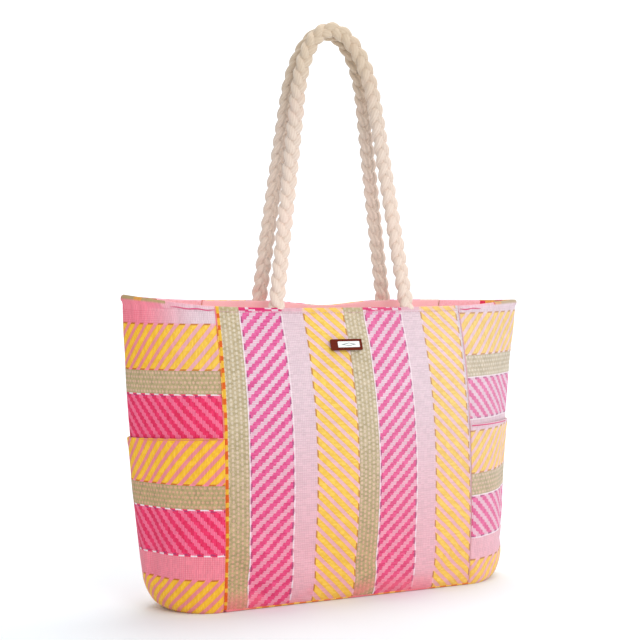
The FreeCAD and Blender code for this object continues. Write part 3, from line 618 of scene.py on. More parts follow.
def woven_material():
    """Four woven stripes: khaki with flecks, magenta twill, plain pink, yellow twill.

    The colours are painted deeper on the -X side and towards the foot, as painted shade, and paler at the top
    of the +X side, as painted light.
    """
    f = Finish("woven_straw")
    s, t = f.cloth_coords()
    s = s + (f.noise(60.0, 1.0) - 0.5) * 0.6
    t = t + (f.noise(9.0, 1.0) - 0.5) * 3.0 + (f.noise(220.0, 1.0) - 0.5) * 0.6
    across = ((s + FIRST_TAN) / REPEAT).fract() * REPEAT
    thread = f.random(cell(t, PICK), cell(s, 5.0))
    hem_share = f.attribute("hem")

    # Painted shade: shares from 0 in full light to 1 in the deepest shade, strongest towards the foot and
    # over the -X side, most at the far left and over the left pocket, and weaker on the +X side.
    low = f.z.soft(0.28, 0.01)
    left_side = (f.x * -1.0).more(SEAM_X - 0.2 * MM)
    right_side = f.x.more(SEAM_X + 0.2 * MM)
    far_left = (f.x * -1.0).soft(0.185, 0.262)
    pocket = f.z.less(POCKET_TOP + 5.5 * MM)
    magenta_painted_shade = (low * (right_side * -0.45 + 0.66)).maximum(left_side)
    pink_painted_shade = (low * 0.42).maximum(left_side * far_left.maximum(pocket * 0.95))
    yellow_painted_shade = (low * 0.45).maximum(left_side * (far_left.maximum(pocket) * 0.5 + 0.4))
    tan_painted_shade = low.maximum(left_side * (pocket * 0.3 + 0.7))

    # Ground yarn colour, deepened to rose under painted shade.
    def pale(painted_shade):
        return f.mix(rgb(240, 214, 224), rgb(255, 120, 156), painted_shade)

    tan, tan_relief = tan_stripe(f, across, t, thread, tan_painted_shade, hem_share)
    magenta, magenta_relief = magenta_stripe(
        f, across - TAN_END, t, thread, pale(magenta_painted_shade), magenta_painted_shade, hem_share
    )
    pink, pink_relief = pink_stripe(f, across, t, pale(pink_painted_shade), pink_painted_shade, hem_share)
    yellow, yellow_relief = yellow_stripe(
        f, across - PINK_END, t, thread, pale(yellow_painted_shade), yellow_painted_shade, hem_share
    )

    in_magenta = across.more(TAN_END) * across.less(MAGENTA_END)
    in_pink = across.more(MAGENTA_END) * across.less(PINK_END)
    in_yellow = across.more(PINK_END)
    colour = f.mix(tan, magenta, in_magenta)
    colour = f.mix(colour, pink, in_pink)
    colour = f.mix(colour, yellow, in_yellow)
    foot = f.z.soft(0.030, 0.004) * f.noise(30.0, 1.0).soft(0.35, 0.6)
    colour = f.mix(colour, rgb(255, 116, 134), foot * in_yellow.invert() * 0.55)
    colour = seam_edges(f, colour, s, t)
    # Painted light: the colours turn paler towards +X, less so towards the foot.
    ramp = f.x.soft(-0.06, 0.20) * (low * -0.6 + 1.0)
    colour = f.mix(colour, rgb(228, 218, 226), ramp * 0.17)
    colour = f.shade(colour, thread, 0.92, 1.03)
    colour = f.shade(colour, f.noise(14.0, 3.0), 0.95, 1.05)

    relief = magenta_relief * in_magenta + yellow_relief * in_yellow
    relief = relief + pink_relief * in_pink + tan_relief * across.less(TAN_END)
    height = relief + (t / PICK).wave() * 0.7 + (s / 0.9).wave() * 0.25 + f.noise(900.0, 2.0) * 0.35
    return f.finish(colour, height, 0.85, 0.45 * MM, Roughness=0.6, Sheen_Weight=0.1, Specular_IOR_Level=0.3)


# ---------------------------------------------------------------- other materials


def plain_weave(name, light, dark, yarn=1.2, painted_glow=0.0):
    """Plain cotton: over-and-under yarns, uneven in colour; yarn is in mm, and the glow share gives painted
    light: emission in the cloth's own colour that brightens it in the shade inside the bag.
    """
    f = Finish(name)
    s, t = f.cloth_coords()
    s = s + (f.noise(120.0, 1.0) - 0.5) * 0.6
    over = (((s / yarn) * math.pi).sine() * ((t / yarn) * math.pi).sine()) * 0.5 + 0.5
    slub = f.noise(300.0, 3.0, (1, 1, 0.15))
    colour = f.mix(rgb(*dark), rgb(*light), over * 0.6 + slub * 0.5)
    colour = f.shade(colour, f.noise(10.0, 3.0), 0.9, 1.06)
    return f.finish(
        colour, over + slub * 0.4, 0.6, 0.25 * MM,
        Roughness=0.8, Sheen_Weight=0.25, Emission_Color=colour, Emission_Strength=painted_glow,
    )


def turned_hem_material():
    """Wrong side of the woven cloth where it is turned in: rose, with coloured blocks near the tips."""
    f = Finish("turned_hem")
    s, t = f.cloth_coords()
    thread = f.random(cell(s, 1.1), cell(t, 2.0))
    colour = f.mix(rgb(244, 184, 194), hem_blocks(f, s), f.x.absolute().more(HEM_CORNER))
    colour = f.shade(colour, thread, 0.85, 1.06)
    # The emission is painted light that brightens the turned hem in the shade of the mouth.
    return f.finish(
        colour, thread, 0.6, 0.3 * MM,
        Roughness=0.75, Sheen_Weight=0.15, Emission_Color=colour, Emission_Strength=0.24,
    )


def rope_material():
    """Loosely spun cotton: fine yarns winding round each strand, with painted shade in the grooves between
    them, rosy below and sandy at the crown.
    """
    f = Finish("cotton_rope")
    around, along = f.cloth_coords()
    turn = (around * 0.009 + along / 7.0).wave()
    fuzz = f.noise(700.0, 4.0)
    # The winding yarns are painted darker in their grooves as painted shade; the fuzz adds random tone.
    colour = f.mix(rgb(214, 192, 176), rgb(238, 222, 208), turn * 0.45 + fuzz * 0.6)
    colour = f.mix(colour, rgb(238, 208, 198), f.noise(25.0, 2.0).soft(0.5, 0.75) * 0.4)
    colour = f.mix(colour, rgb(200, 178, 142), f.z.soft(0.55, 0.70) * 0.55)
    colour = f.mix(colour, rgb(248, 224, 208), f.z.soft(0.60, 0.45) * 0.45)
    height = turn * 0.8 + fuzz * 0.6
    return f.finish(colour, height, 0.6, 0.5 * MM, Roughness=0.92, Sheen_Weight=0.5, Specular_IOR_Level=0.2)


def cord_material():
    """Edge cord whose yarn changes between orange, yellow and pink along its length."""
    f = Finish("edge_cord")
    around, along = f.cloth_coords()
    colour = f.mix(rgb(250, 200, 84), rgb(232, 118, 38), (along / TWILL).fract().less(0.55))
    colour = f.mix(colour, rgb(246, 128, 140), f.noise(14.0, 1.0).soft(0.5, 0.6))
    turn = (around * 0.004 + along / 3.0).wave()
    # Painted shade: the cord is darker in the grooves of its twist.
    colour = f.shade(colour, turn, 0.85, 1.05)
    return f.finish(colour, turn, 0.6, 0.3 * MM, Roughness=0.6, Sheen_Weight=0.1)


def thread_material(name, colour):
    """Two-ply thread, with painted shade in the groove between its plies."""
    f = Finish(name)
    ply = ((f.x + f.z) * 6000.0).sine() * 0.5 + 0.5
    tint = f.mix(rgb(*[int(c * 0.86) for c in colour]), rgb(*colour), ply)
    return f.finish(tint, ply, 0.5, 0.1 * MM, Roughness=0.7, Sheen_Weight=0.3)


def leather_material():
    """Dark leather with fine grain and lighter scuffs."""
    f = Finish("label_leather")
    grain = f.noise(900.0, 5.0)
    scuff = f.noise(60.0, 4.0).soft(0.5, 0.8)
    colour = f.mix(rgb(94, 18, 0), rgb(126, 40, 6), grain * 0.5 + scuff * 0.5)
    return f.finish(colour, grain, 0.5, 0.15 * MM, Roughness=scuff * 0.2 + 0.55, Specular_IOR_Level=0.15)


def plate_material():
    """Pale enamelled plate with a plain mark: the outline of one long lozenge."""
    low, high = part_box("label_plate")
    middle, half = (low + high) / 2, (high - low) / 2
    f = Finish("label_enamel")
    across = (f.x - middle.x) / half.x
    up = (f.z - middle.z) / half.z
    from_middle = across.absolute() / 0.72 + up.absolute() / 0.55
    lozenge = (from_middle - 0.82).absolute().less(0.18)
    speck = f.noise(900.0, 3.0)
    colour = f.mix(rgb(244, 244, 242), rgb(255, 255, 255), speck)
    colour = f.mix(colour, rgb(104, 124, 120), lozenge)
    return f.finish(colour, speck, 0.1, 0.03 * MM, Roughness=speck * 0.1 + 0.35, Metallic=0.1)


def gold_material():
    """Pale gold metal with brush marks, a little worn."""
    f = Finish("zip_gold")
    brush = f.noise(300.0, 4.0, (60, 1, 1))
    wear = f.noise(120.0, 3.0).soft(0.45, 0.7)
    colour = f.mix(rgb(206, 160, 84), rgb(240, 204, 130), brush)
    return f.finish(colour, brush, 0.15, 0.05 * MM, Metallic=1.0, Roughness=wear * 0.12 + brush * 0.1 + 0.2)


def teeth_material():
    """Moulded teeth in dull gold."""
    f = Finish("zip_teeth")
    colour = f.mix(rgb(176, 128, 48), rgb(214, 170, 84), f.noise(400.0, 3.0))
    return f.finish(colour, f.noise(1500.0, 2.0), 0.2, 0.05 * MM, Roughness=0.35)


WOVEN = woven_material()
# The rose facing and the lining glow with painted light, which brightens them in the shade inside the bag.
FACING = plain_weave("rose_cotton", (252, 204, 206), (242, 174, 182), painted_glow=0.24)
TURNED_HEM = turned_hem_material()
LINING = plain_weave("natural_lining", (236, 224, 206), (206, 188, 164), 0.9, painted_glow=0.12)
TAPE = plain_weave("zip_tape_cloth", (214, 82, 112), (176, 50, 84), 0.8)
ROPE = rope_material()
LEATHER = leather_material()
PLATE = plate_material()
GOLD = gold_material()
TEETH = teeth_material()
THREAD_PINK = thread_material("pink_thread", (236, 180, 190))
# Crimson thread, also laid under the right pocket's hem as a line of painted shade.
CRIMSON_THREAD_AND_SHADE = thread_material("crimson_thread_and_shade", (232, 66, 128))
THREAD_ORANGE = thread_material("orange_thread", (242, 146, 84))
CORD = cord_material()


def dress(piece, material):
    piece.data.materials.clear()
    piece.data.materials.append(material)


def fit(piece, material, body="bag", nodes=()):
    """Give a piece its material, its body and the nodes it stands for."""
    dress(piece, material)
    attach(piece, body)
    if nodes:
        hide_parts(*nodes)


# ---------------------------------------------------------------- woven body

STRIPE_DRIFT = 4 * MM  # the cloth is drawn wider at the foot on the +X side
GATHER = {-1: 0.9, 1: 0.35}  # how strongly the cloth is gathered along the left and the right fold
GATHER_REACH = 0.35  # share of the way from fold to seam that it is gathered over
POCKET_GAPE = 1.5 * MM


def hem(z, rim, width=7 * MM, lift=0.7 * MM):
    """Thickness that a turned hem adds near an edge."""
    rise = np.clip((z - (rim - width)) / (1.2 * MM), 0.0, 1.0)
    return lift * rise * rise * (3 - 2 * rise)


def hem_line(z, rim):
    """Dent that the hem's stitching pulls into the cloth."""
    return 0.5 * MM * np.exp(-(((z - rim + 5.2 * MM) / (0.8 * MM)) ** 2))


def seam_pucker(distance, z):
    """Small gathers beside a seam."""
    ramp = np.exp(-np.abs(distance) / (9 * MM))
    return 0.45 * MM * ramp * np.sin(z / (5.2 * MM) * 2 * np.pi + 2.0 * np.sin(z / (31 * MM)))


def fold_lines(x, z):
    """Two faint creases across a panel, left from lying folded flat."""
    wander = 2.5 * MM * np.sin(x / (70 * MM))
    upper = np.exp(-(((z - 205 * MM - wander) / (1.6 * MM)) ** 2))
    lower = 0.6 * np.exp(-(((z - 120 * MM + wander) / (1.6 * MM)) ** 2))
    return 0.7 * MM * (upper + lower)


def mark_hem(piece, rim_line, width):
    """Store 1 where a vertex lies on the turned edge under the rim line, and 0 below it."""
    places = np.zeros(len(piece.data.vertices) * 3)
    piece.data.vertices.foreach_get("co", places)
    x, y, z = places.reshape(-1, 3).T
    share = np.clip((width - (rim_line(x, y) - z)) / (0.6 * MM), 0.0, 1.0)
    layer = piece.data.attributes.new("hem", "FLOAT", "POINT")
    layer.data.foreach_set("value", share)


def make_panel(wall, side):
    """Front or back panel: one settled sheet with a turned hem, rolled in at its seams and foot."""
    count = 150
    rim_line = RIM_LINES[side]
    x = down_rows(-SEAM_X, SEAM_X, count, count)
    rim = rim_line(x)
    z = np.linspace(0, 1, count)[None, :] * rim
    base = panel_point(side, x, z, 0.0)
    swell = 0.5 * MM * ripple(base, 60 * MM, 1 + side) + 0.3 * MM * ripple(base, 20 * MM, 4 + side)
    coarse = (slice(None, None, 3), slice(None, None, 3))
    hold = sewn_edges(x / SEAM_X, z / rim, 0.03)
    swell = swell + spread_grid(settle(f"{wall}_cloth_sim", base[coarse], hold[coarse]), count, count)
    to_seam = SEAM_X - np.abs(x)
    roll_in = 1.2 * MM * np.exp(-to_seam / (1.4 * MM)) + 1.5 * MM * np.exp(-z / (2.0 * MM))
    inset = roll_in + hem_line(z, rim) + fold_lines(x, z) - swell - seam_pucker(to_seam, z) - hem(z, rim)
    outer = panel_point(side, x, z, inset)
    inner = panel_point(side, x, z, inset + CLOTH + hem(z, rim) * 0.3)
    s = -side * x
    drift = STRIPE_DRIFT * (1 - z / HEIGHT) * (s / SEAM_X + 1) / 2
    piece = shell(f"{wall}_cloth", outer, inner, np.stack([s - drift, z], -1), flip=side > 0)
    mark_hem(piece, lambda x, y: rim_line(x), 4.6 * MM)
    fit(piece, WOVEN, nodes=[f"{wall}_panel"])


def arc_from_front(side, turn, z):
    """Distance round the gusset from the front seam, in metres, at each height."""
    points = gusset_point(side, turn, z, 0.0)
    steps = np.linalg.norm(np.diff(points, axis=0), axis=-1)
    return np.concatenate([np.zeros((1, steps.shape[1])), np.cumsum(steps, axis=0)], axis=0)


def gusset_uv(side, turn, z, top, start, lift):
    """Stripes run round the side: down from the top edge, along from the front seam, lift higher at the fold.

    The cloth is gathered along the side fold, so its bands lie closer together there.
    """
    arc = arc_from_front(side, turn, z)
    half_arc = arc[-1:] / 2
    gathered = np.tanh((arc / half_arc - 1) / GATHER_REACH) + 1
    along = arc + GATHER[side] * GATHER_REACH * half_arc * gathered
    down = np.maximum(top - z, 1.2 * MM)
    across = down + (start - FIRST_TAN) * MM + lift * (1 - np.abs(turn)) ** 1.5
    return np.stack(np.broadcast_arrays(across, along * side), -1)


def gusset_settle(side):
    """How far a gusset and the pocket over it stand out once the cloth has settled, on a coarse grid."""
    turn = down_rows(-1, 1, 41, 48)
    z = over_columns(0, 1, 41, 48) * RIM_END
    return settle("gusset_sim", gusset_point(side, turn, z, 0.0), sewn_edges(turn, z / RIM_END, 0.02))


def settled(field, turn, z):
    """Value of a gusset's settled field at a turn and height."""
    row = (turn + 1) / 2 * (field.shape[0] - 1)
    column = np.clip(z / RIM_END, 0, 1) * (field.shape[1] - 1)
    r0 = np.clip(np.floor(row).astype(int), 0, field.shape[0] - 2)
    c0 = np.clip(np.floor(column).astype(int), 0, field.shape[1] - 2)
    fr, fc = row - r0, column - c0
    low = field[r0, c0] * (1 - fc) + field[r0, c0 + 1] * fc
    high = field[r0 + 1, c0] * (1 - fc) + field[r0 + 1, c0 + 1] * fc
    return low * (1 - fr) + high * fr


def side_shell(name, side, field, turn, z, outset, roll_in, foot_in, uv):
    """Sheet round one side, settled, rolled in at its seams and foot; outset is how far it stands off."""
    base = gusset_point(side, turn, z, 0.0)
    to_seam = (1 - np.abs(turn)) * 100 * MM
    rolled = roll_in * np.exp(-to_seam / (3 * MM)) + foot_in * np.exp(-z / (2.0 * MM))
    swell = 0.4 * MM * ripple(base, 40 * MM, 11 + side) + settled(field, turn, z)
    inset = rolled - swell - seam_pucker(to_seam, z) * 0.8 - outset
    outer = gusset_point(side, turn, z, inset)
    inner = gusset_point(side, turn, z, inset + CLOTH)
    return shell(name, outer, inner, uv, flip=side < 0)


def make_gusset(hand, side, start, field):
    """Side wall from seam to seam; start is where in the run of stripes its rim lies, in mm."""
    turn = down_rows(-1, 1, 121, 140)
    rim = gusset_rim(side, turn[:, :1])
    z = np.linspace(0, 1, 140)[None, :] * rim
    outset = hem(z, rim) - hem_line(z, rim)
    uv = gusset_uv(side, turn, z, HEIGHT, start, 3.5 * MM)
    piece = side_shell(f"{hand}_cloth", side, field, turn, z, outset, 1.4 * MM, 1.5 * MM, uv)
    mark_hem(piece, rim_at, 2.6 * MM)
    fit(piece, WOVEN, nodes=[f"{hand}_gusset"])


def make_side_pocket(hand, side, start, field):
    """Slip pocket over the lower gusset; its mouth stands off a little between fold and seams."""
    turn = down_rows(-1, 1, 121, 90)
    z = over_columns(0, 1, 121, 90) * POCKET_TOP
    mouth = np.exp(-(((z - POCKET_TOP) / (30 * MM)) ** 2)) * np.sin(np.pi * np.abs(turn)) ** 2
    outset = 0.3 * MM + CLOTH + POCKET_GAPE * mouth + hem(z, POCKET_TOP, 9 * MM, 0.35 * MM)
    uv = gusset_uv(side, turn, z, POCKET_TOP, start, 7 * MM)
    piece = side_shell(f"{hand}_pocket_cloth", side, field, turn, z, outset, 1.2 * MM, 1.6 * MM, uv)
    fit(piece, WOVEN, nodes=[f"{hand}_side_pocket"])


def wall_ring(z, inset, x, turns):
    """Wall section at one height, round from the left front seam."""
    return np.concatenate(
        [
            panel_point(-1, x, z, inset),
            gusset_point(1, turns, z, inset),
            panel_point(1, x[::-1], z, inset),
            gusset_point(-1, turns[::-1], z, inset),
        ]
    )


def make_base():
    """Flat woven base whose edge follows the foot of the walls."""
    rings, quarter = 14, 60
    outline = wall_ring(0.0, 1.2 * MM, np.linspace(-SEAM_X, SEAM_X, quarter), np.linspace(-1, 1, quarter))
    layers = []
    for lift, order in ((0.4 * MM, range(1, rings + 1)), (2.0 * MM, range(rings, 0, -1))):
        for ring in order:
            layers.append(outline * [ring / rings, ring / rings, 0] + [0, 0, lift])
    verts = np.concatenate(layers)
    size = (len(layers), len(outline))
    piece = new_mesh("base_cloth", verts, turned(ring_faces(*size)) + cap_faces(*size), verts[:, :2])
    fit(piece, WOVEN, nodes=["base_panel"])


# ---------------------------------------------------------------- mouth and lining

ROPE_X = 90 * MM  # the ropes' feet, left and right of the centre


def rope_swell(x, up):
    """How far a facing stands off over the sewn-in rope ends; up is 0 at its lower edge and 1 at the rim."""
    near = np.abs(np.abs(x) - ROPE_X)
    return (10.2 + 2.6 * up) * MM * np.exp(-((near / (30 * MM)) ** 4))


def make_facings():
    """Turned bands inside the rim: rose cotton front and back, the cloth's own hem at the sides."""
    rows = 16
    up = np.linspace(0, 1, rows)[None, :]
    below_rim = BAND * (1 - up) + 0.4 * MM
    for wall, side in WALLS:
        x = down_rows(-SEAM_X + 1.2 * MM, SEAM_X - 1.2 * MM, 180, rows)
        z = RIM_LINES[side](x) - below_rim
        depth = 2.1 * MM + rope_swell(x, up) + 0.3 * MM * ripple(panel_point(side, x, z, 0), 18 * MM, 31)
        outer = panel_point(side, x, z, depth)
        inner = panel_point(side, x, z, depth + 0.9 * MM)
        piece = shell(f"{wall}_band", outer, inner, np.stack([x, z], -1), flip=side > 0)
        fit(piece, FACING, nodes=[f"{wall}_facing"])
    for hand, side in HANDS:
        turn = down_rows(-1, 1, 90, rows)
        z = gusset_rim(side, turn[:, :1]) - below_rim
        outer = gusset_point(side, turn, z, 2.1 * MM)
        inner = gusset_point(side, turn, z, 3.0 * MM)
        uv = np.stack([arc_from_front(side, turn, z), z], -1)
        piece = shell(f"{hand}_band", outer, inner, uv, flip=side < 0)
        fit(piece, TURNED_HEM, nodes=[f"{hand}_facing"])


def ring_points(z, inset, per_side=40):
    """Wall section at one height, with each seam's points given once."""
    x = np.linspace(-SEAM_X, SEAM_X, per_side)
    return wall_ring(z, inset, x, np.linspace(-1, 1, per_side)[1:-1])


def outward(points, axes):
    """Unit directions away from the middle of the bag; axes weighs X, Y and Z."""
    return unit(points * axes)


def make_lining():
    """Loose cotton bag that hangs just inside the walls."""
    low, high = 3.4 * MM, 318 * MM
    heights = np.linspace(low, high, 60)[:, None]
    rings = np.stack([ring_points(z, 3.4 * MM) for z in heights[:, 0]])
    slack = 1.0 * MM + 1.2 * MM * ripple(rings, 45 * MM, 41) + 0.5 * MM * ripple(rings, 14 * MM, 42)
    ramp = np.minimum(1.0, (heights - low) / (30 * MM)) * np.minimum(1.0, (high - heights) / (20 * MM))
    outer = rings - outward(rings, [0.25, 1, 0]) * (slack * ramp)[..., None]
    inner = outer - outward(outer, [0.6, 1, 0]) * 0.6 * MM
    girth = np.linspace(0, 1.1, rings.shape[1])
    uv = np.stack(np.broadcast_arrays(girth[None, :], heights), -1)
    verts = np.concatenate([outer, inner[::-1]])
    uvs = np.concatenate([uv, uv[::-1]])
    faces = ring_faces(*verts.shape[:2]) + cap_faces(*verts.shape[:2])
    piece = new_mesh("lining_bag", verts.reshape(-1, 3), faces, uvs.reshape(-1, 2))
    fit(piece, LINING, nodes=["lining"])


def make_inner_pocket():
    """Slip pocket on the lining of the back wall, its hem a little slack."""
    low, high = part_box("inner_pocket")
    x = down_rows(low.x, high.x, 60, 50)
    z = over_columns(low.z, high.z, 60, 50)
    sag = 3 * MM * np.exp(-(((z - high.z) / (30 * MM)) ** 2)) * (1 - (x / high.x) ** 2)
    outer = panel_point(1, x, z, 6.4 * MM + sag)
    inner = panel_point(1, x, z, 7.2 * MM + sag + hem(z, high.z, 8 * MM, 0.5 * MM))
    piece = shell("inner_slip_pocket", outer, inner, np.stack([x, z], -1), flip=True)
    fit(piece, LINING, nodes=["inner_pocket"])


# ---------------------------------------------------------------- stitches, yarns and seams

STITCH, STITCH_GAP, STITCH_RADIUS = 2.8 * MM, 1.3 * MM, 0.33 * MM
STITCH_ARCH = np.array([-0.3, 0.7, 1.0, 0.7, -0.3])  # rise along one stitch, in radii
STITCH_TAPER = np.array([0.6, 1.0, 1.0, 1.0, 0.6])


def stitch_row(path, out):
    """Thread stitches laid along a path of closely spaced points, raised along out."""
    parts = Parts()
    along = lengths_along(path)
    start = STITCH_GAP
    while start + STITCH < along[-1]:
        at = np.linspace(start, start + STITCH, 5)
        centre, lift = (np.stack([np.interp(at, along, line) for line in row.T], 1) for row in (path, out))
        centre = centre + lift * STITCH_ARCH[:, None] * STITCH_RADIUS
        size = STITCH_RADIUS * STITCH_TAPER
        parts.add(*tube(centre, *frames_along(centre, lift), size, size, 6))
        start += STITCH + STITCH_GAP
    return parts


def yarn(name, line, hint, half_across, half_depth, sides, material, slot_name):
    """One yarn or cord laid along a line."""
    verts, faces, uvs = tube(line, *frames_along(line, hint), half_across, half_depth, sides)
    fit(new_mesh(name, verts, faces, uvs), material)


def make_foot_cord():
    """Bound edge where the walls are sewn to the base."""
    ring = ring_points(1.6 * MM, 0.6 * MM, 90)
    path = np.concatenate([ring, ring[:2]])
    yarn("foot_cord", path, (0, 0, 1), 1.3 * MM, 1.3 * MM, 10, CORD, "woven_base")


def make_seams():
    """Piping yarn in the four upright seams, and topstitching under the rim of the front and the back."""
    up = np.linspace(0.002, 1, 260)
    x = np.linspace(-164 * MM, 164 * MM, 400)
    for wall, side in WALLS:
        rim_line = RIM_LINES[side]
        for hand, sign in HANDS:
            at_x = np.full_like(up, sign * SEAM_X)
            line = panel_point(side, at_x, up * rim_line(at_x), 0.9 * MM)
            material = CORD if sign < 0 else THREAD_PINK
            yarn(f"seam_{wall}_{hand}", line, (1, 0, 0), 0.9 * MM, 0.9 * MM, 10, material, "woven_side")
        line = panel_point(side, x, rim_line(x) - 5.2 * MM, -1.1 * MM)
        stitches = stitch_row(line, outward(line, [0.2, 1, 0])).piece(f"rim_stitches_{wall}")
        fit(stitches, THREAD_PINK)


def make_hem_yarns():
    """Loose yarns along the top of each gusset beside its front seam, and a line round each pocket mouth: an
    orange yarn on the left, and on the right a crimson line of painted shade under the pocket's hem.
    """
    # The right pocket's crimson line is painted shade under the hem of the pocket mouth; the left one is an
    # orange yarn.
    yarns = (("left", -1, -0.62, THREAD_ORANGE), ("right", 1, -0.74, CRIMSON_THREAD_AND_SHADE))
    for hand, side, far_turn, mouth_line_material in yarns:
        turn = np.linspace(-0.985, far_turn, 80)
        drop = (4.2 + 0.5 * np.sin(turn * 40)) * MM
        line = gusset_point(side, turn, gusset_rim(side, turn) - drop, -1.2 * MM)
        taper = 0.75 * MM * np.sin(np.linspace(0.25, math.pi - 0.15, len(line))) ** 0.6
        yarn(f"hem_yarn_{hand}", line, (0, 0, 1), taper, taper * 0.7, 8, CRIMSON_THREAD_AND_SHADE, "facing_cotton")
        turn = np.linspace(-0.97, 0.97, 240)
        line = gusset_point(side, turn, POCKET_TOP - 0.6 * MM, -(CLOTH + 1.0 * MM))
        yarn(f"pocket_mouth_line_{hand}", line, (0, 0, 1), 0.7 * MM, 0.5 * MM, 8, mouth_line_material, "facing_cotton")


# ---------------------------------------------------------------- rope handles

ROOT_Z = 355 * MM  # where a rope leaves the rim
SUNK = 24 * MM  # how far its end reaches down behind the rim
RISE = 347 * MM  # from there to the top of its centre line
ROOT_DEPTH, CROWN_DEPTH = 23.5 * MM, 9.5 * MM  # how far from the middle plane it stands
CROWN_WIDTH, CROWN_HEIGHT = 55.2 * MM, 124 * MM  # half axes of the crown's ellipse
CROWN_START = math.radians(18.07)  # angle on the ellipse where the straight foot begins
BRAID_PERIOD = 52.5 * MM
BRAID_ACROSS, BRAID_DEPTH = 5.0 * MM, 3.0 * MM
STRAND_ACROSS, STRAND_DEPTH = 5.3 * MM, 4.6 * MM
BACK_LEAN = 1.8 * MM  # the back handle lies this far to the left, twice that at mid height
FRONT_LEAN = 2.5 * MM  # the front handle's feet lie this far to the right, its crown as far to the left


def handle_path(side, spacing=1.0 * MM):
    """Evenly spaced centre line from the left rope end, over the crown, to the right one."""
    angles = np.linspace(math.pi - CROWN_START, CROWN_START, 200)
    crown = np.stack([CROWN_WIDTH * np.cos(angles), RISE - CROWN_HEIGHT * (1 - np.sin(angles))], 1)
    foot = np.array([[ROPE_X, 0.0], [ROPE_X + 0.2 * MM, -SUNK]])
    flat = np.concatenate([foot[::-1] * [-1, 1], crown, foot])
    steps = lengths_along(flat)
    at = np.linspace(0, steps[-1], int(steps[-1] / spacing))
    x, rise = (np.interp(at, steps, line) for line in flat.T)
    kernel = np.ones(21) / 21
    for line in (x, rise):
        line[10:-10] = np.convolve(line, kernel, "valid")
    share = np.clip(rise / RISE, 0.0, 1.0)
    if side > 0:
        x = x - BACK_LEAN * (1 + np.sin(np.pi * share) + 2.2 * (x > 0) * (1 - share) ** 2)
    else:
        x = x + FRONT_LEAN * ((1 - share) ** 2 - 2 * share**6)
    depth = ROOT_DEPTH + (CROWN_DEPTH - ROOT_DEPTH) * rise / RISE + np.maximum(-rise, 0.0) * 0.16
    return np.stack([x, side * depth, ROOT_Z + rise], 1)


def braid(name, side, path, flat, low, high):
    """Three strands plaited along a path from index low to high; flat is their thickness share."""
    towards, sideways = frames_along(path, (0, side, 0))
    along = np.arange(len(path)) * np.linalg.norm(path[1] - path[0])
    part = slice(low, high)
    parts = Parts()
    for k in range(3):
        phase = 2 * np.pi * (along / BRAID_PERIOD + k / 3)
        centre = path + sideways * (BRAID_ACROSS * np.sin(phase))[:, None]
        centre = centre + towards * (BRAID_DEPTH * flat * np.sin(2 * phase))[:, None]
        wide, thick = frames_along(centre, sideways)
        plump = 1 + 0.05 * np.sin(phase * 2 + 1.0)
        half_thick, half_wide = STRAND_DEPTH * flat * plump, STRAND_ACROSS * plump
        parts.add(*tube(centre[part], thick[part], wide[part], half_thick[part], half_wide[part], 14))
    return parts.piece(name)


def bend_rope(piece, nodes):
    """A cotton rope piece with its placement baked into its mesh, standing in for the CAD nodes it hides."""
    dress(piece, ROPE)
    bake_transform(piece)
    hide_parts(*nodes)


def make_handle(wall, side):
    """One rope in three pieces: two feet, split off halfway between the heights of the swing and the bend
    joints, and the rest.
    """
    name = f"{wall}_handle"
    path = handle_path(side)
    z = path[:, 2]
    above_feet = z > (JOINT_AT[f"{name}_swing"][2] + JOINT_AT[f"{name}_bend"][2]) / 2
    left = int(np.argmax(above_feet))
    right = len(path) - int(np.argmax(above_feet[::-1]))
    free = np.clip((z - (ROOT_Z - 22 * MM)) / (26 * MM), 0.0, 1.0)
    flat = 0.62 + 0.38 * free * free * (3 - 2 * free)
    for hand, low, high in (("left", 0, left + 1), ("right", right - 1, len(path))):
        foot = braid(f"{name}_root_{hand}", side, path, flat, low, high)
        nodes = (f"{name}_ends", f"{name}_legs")
        bend_rope(foot, nodes)
    rope = braid(f"{name}_rope", side, path, flat, left, right)
    nodes = (f"{name}_legs", f"{name}_loop")
    bend_rope(rope, nodes)


# ---------------------------------------------------------------- zip closure

_, HINGE_Y, ZIP_Z = JOINT_AT["back_flap_close"]
ZIP_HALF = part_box("zip_panel_front")[1].x
ZIP_GAP = 0.55 * MM  # from the closed zip's middle to each row of teeth
ROW, PITCH = 2.6 * MM, 2.1 * MM  # width of a row, and from tooth to tooth
TOOTH = (1.15 * MM, ROW, 2.0 * MM)
TEETH_AT = HINGE_Y - ZIP_GAP - ROW  # from the hinge to the near edge of the teeth


def flap_point(side, x, down, thick):
    """Point of a hanging flap: down from the hinge, thick towards the middle of the mouth."""
    x, down, thick = as_floats(x, down, thick)
    return np.stack(np.broadcast_arrays(x, side * (HINGE_Y - thick), ZIP_Z - down), -1)


def flap_sheet(name, side, near, far, low, thick, wave=0.0):
    """One layer of a flap, from near to far below the hinge; wave makes it sway more towards far."""
    x = down_rows(-ZIP_HALF, ZIP_HALF, 160, 14)
    share = over_columns(0, 1, 160, 14)
    down = near + (far - near) * share
    sway = wave * ripple(flap_point(side, x, down, low), 30 * MM, 51 + side) * share
    outer = flap_point(side, x, down, low + sway)
    inner = flap_point(side, x, down, low + thick + sway)
    return shell(name, outer, inner, np.stack([x, down], -1), flip=side < 0)


